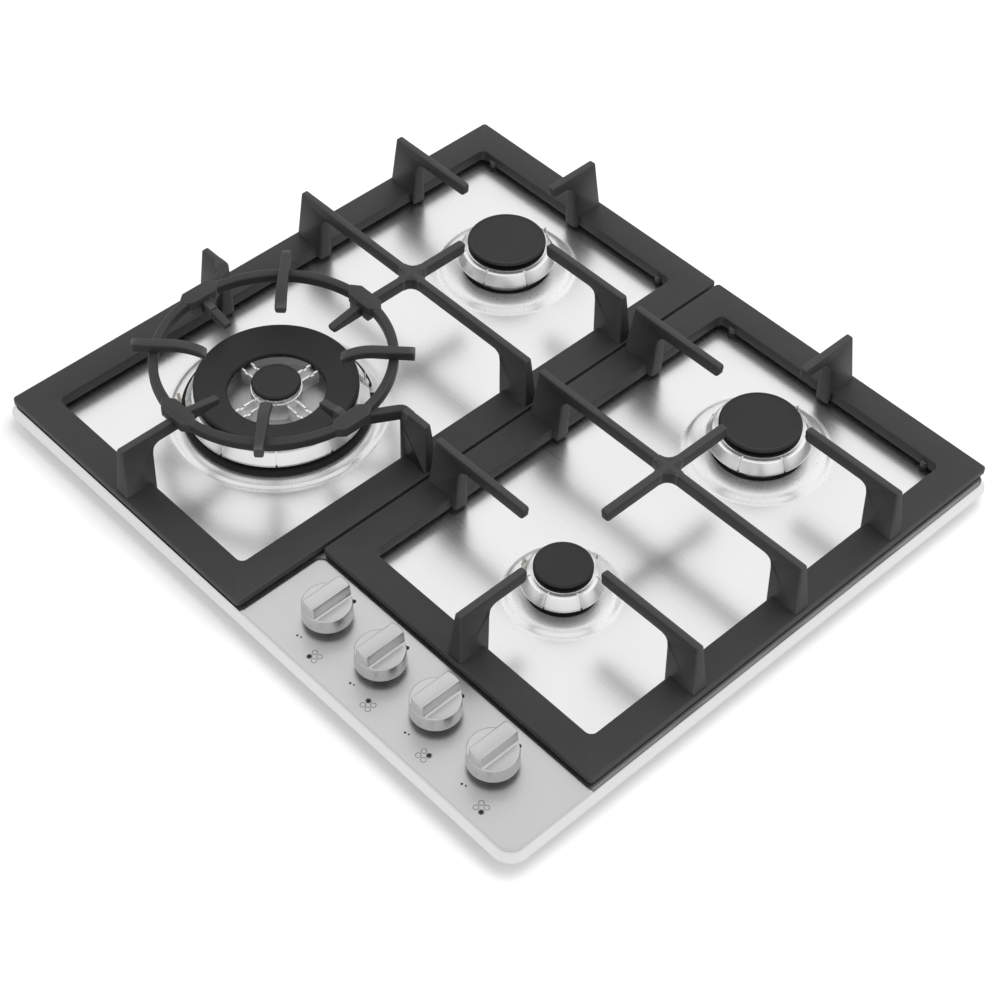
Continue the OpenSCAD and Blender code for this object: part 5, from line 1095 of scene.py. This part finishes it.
def makeFloor():
    # a pale worktop, clear from below so that the burner box shows; for the camera it pales to white outwards
    bpy.ops.mesh.primitive_plane_add(size=studio["size"], location=(0, 0, studio["level"] * mm))
    floor = bpy.context.object
    floor.name = "worktop"
    made = bpy.data.materials.new("paleWorktop")
    made.use_nodes = True
    tree = made.node_tree
    shader = tree.nodes["Principled BSDF"]
    shader.inputs["Base Color"].default_value = (studio["floor"],) * 3 + (1,)
    shader.inputs["Roughness"].default_value = 0.9
    shader.inputs["Specular IOR Level"].default_value = 0.1
    shader.inputs["Emission Color"].default_value = (1, 1, 1, 1)
    path = tree.nodes.new("ShaderNodeLightPath")
    place = tree.nodes.new("ShaderNodeTexCoord")
    away = tree.nodes.new("ShaderNodeVectorMath")
    away.operation = "LENGTH"
    feed(tree, away.inputs[0], place.outputs["Object"])
    fade = addRange(tree, away.outputs["Value"], *studio["fade"], studio["glow"], 1)
    glow = addMath(tree, "MULTIPLY", path.outputs["Is Camera Ray"], fade)
    feed(tree, shader.inputs["Emission Strength"], glow)
    clear = tree.nodes.new("ShaderNodeBsdfTransparent")
    side = tree.nodes.new("ShaderNodeNewGeometry")
    mix = mixShaders(tree, side.outputs["Backfacing"], shader.outputs["BSDF"], clear.outputs["BSDF"])
    feed(tree, tree.nodes["Material Output"].inputs["Surface"], mix)
    floor.data.materials.append(made)


def mixShaders(tree, share, first, second):
    # first where share is 0, second where it is 1
    mix = tree.nodes.new("ShaderNodeMixShader")
    for socket, value in zip(mix.inputs, (share, first, second)):
        feed(tree, socket, value)
    return mix.outputs["Shader"]


def addSky(tree, strength):
    # a white background of one strength or of a ramp
    sky = tree.nodes.new("ShaderNodeBackground")
    sky.inputs["Color"].default_value = (1, 1, 1, 1)
    feed(tree, sky.inputs["Strength"], strength)
    return sky.outputs["Background"]


def makeWorld():
    # white for the camera, and for gloss a sky that brightens to 46 degrees up and dims from 55 degrees on:
    # strength = ramp up * ramp down of the direction's height
    world = bpy.data.worlds.new("softRoom")
    bpy.context.scene.world = world
    world.use_nodes = True
    tree = world.node_tree
    tree.nodes.clear()
    out = tree.nodes.new("ShaderNodeOutputWorld")
    path = tree.nodes.new("ShaderNodeLightPath")
    height = addHeight(tree, "Generated")
    rise = addRange(tree, height, 0, studio["band"], studio["low"], studio["gloss"])
    dim = addRange(tree, height, studio["dimFrom"], 1, 1, studio["zenith"])
    gloss = addSky(tree, addMath(tree, "MULTIPLY", rise, dim))
    room = mixShaders(tree, path.outputs["Is Glossy Ray"], addSky(tree, studio["world"]), gloss)
    seen = mixShaders(tree, path.outputs["Is Camera Ray"], room, addSky(tree, 1))
    feed(tree, out.inputs["Surface"], seen)


def makeLamp(name, place, size, power, aim=(0, 0, 0.05)):
    # a square soft lamp that looks at the aim and doesn't show in gloss
    data = bpy.data.lights.new(name, "AREA")
    data.shape = "SQUARE"
    data.size = size
    data.energy = power
    lamp = bpy.data.objects.new(name, data)
    lamp.location = place
    lamp.visible_glossy = False
    lamp.rotation_euler = (Vector(place) - Vector(aim)).to_track_quat("Z", "Y").to_euler()
    bpy.context.collection.objects.link(lamp)


makeFloor()
makeWorld()
for name, lamp in lamps.items():
    makeLamp(name, **lamp)
print("floor and light made")
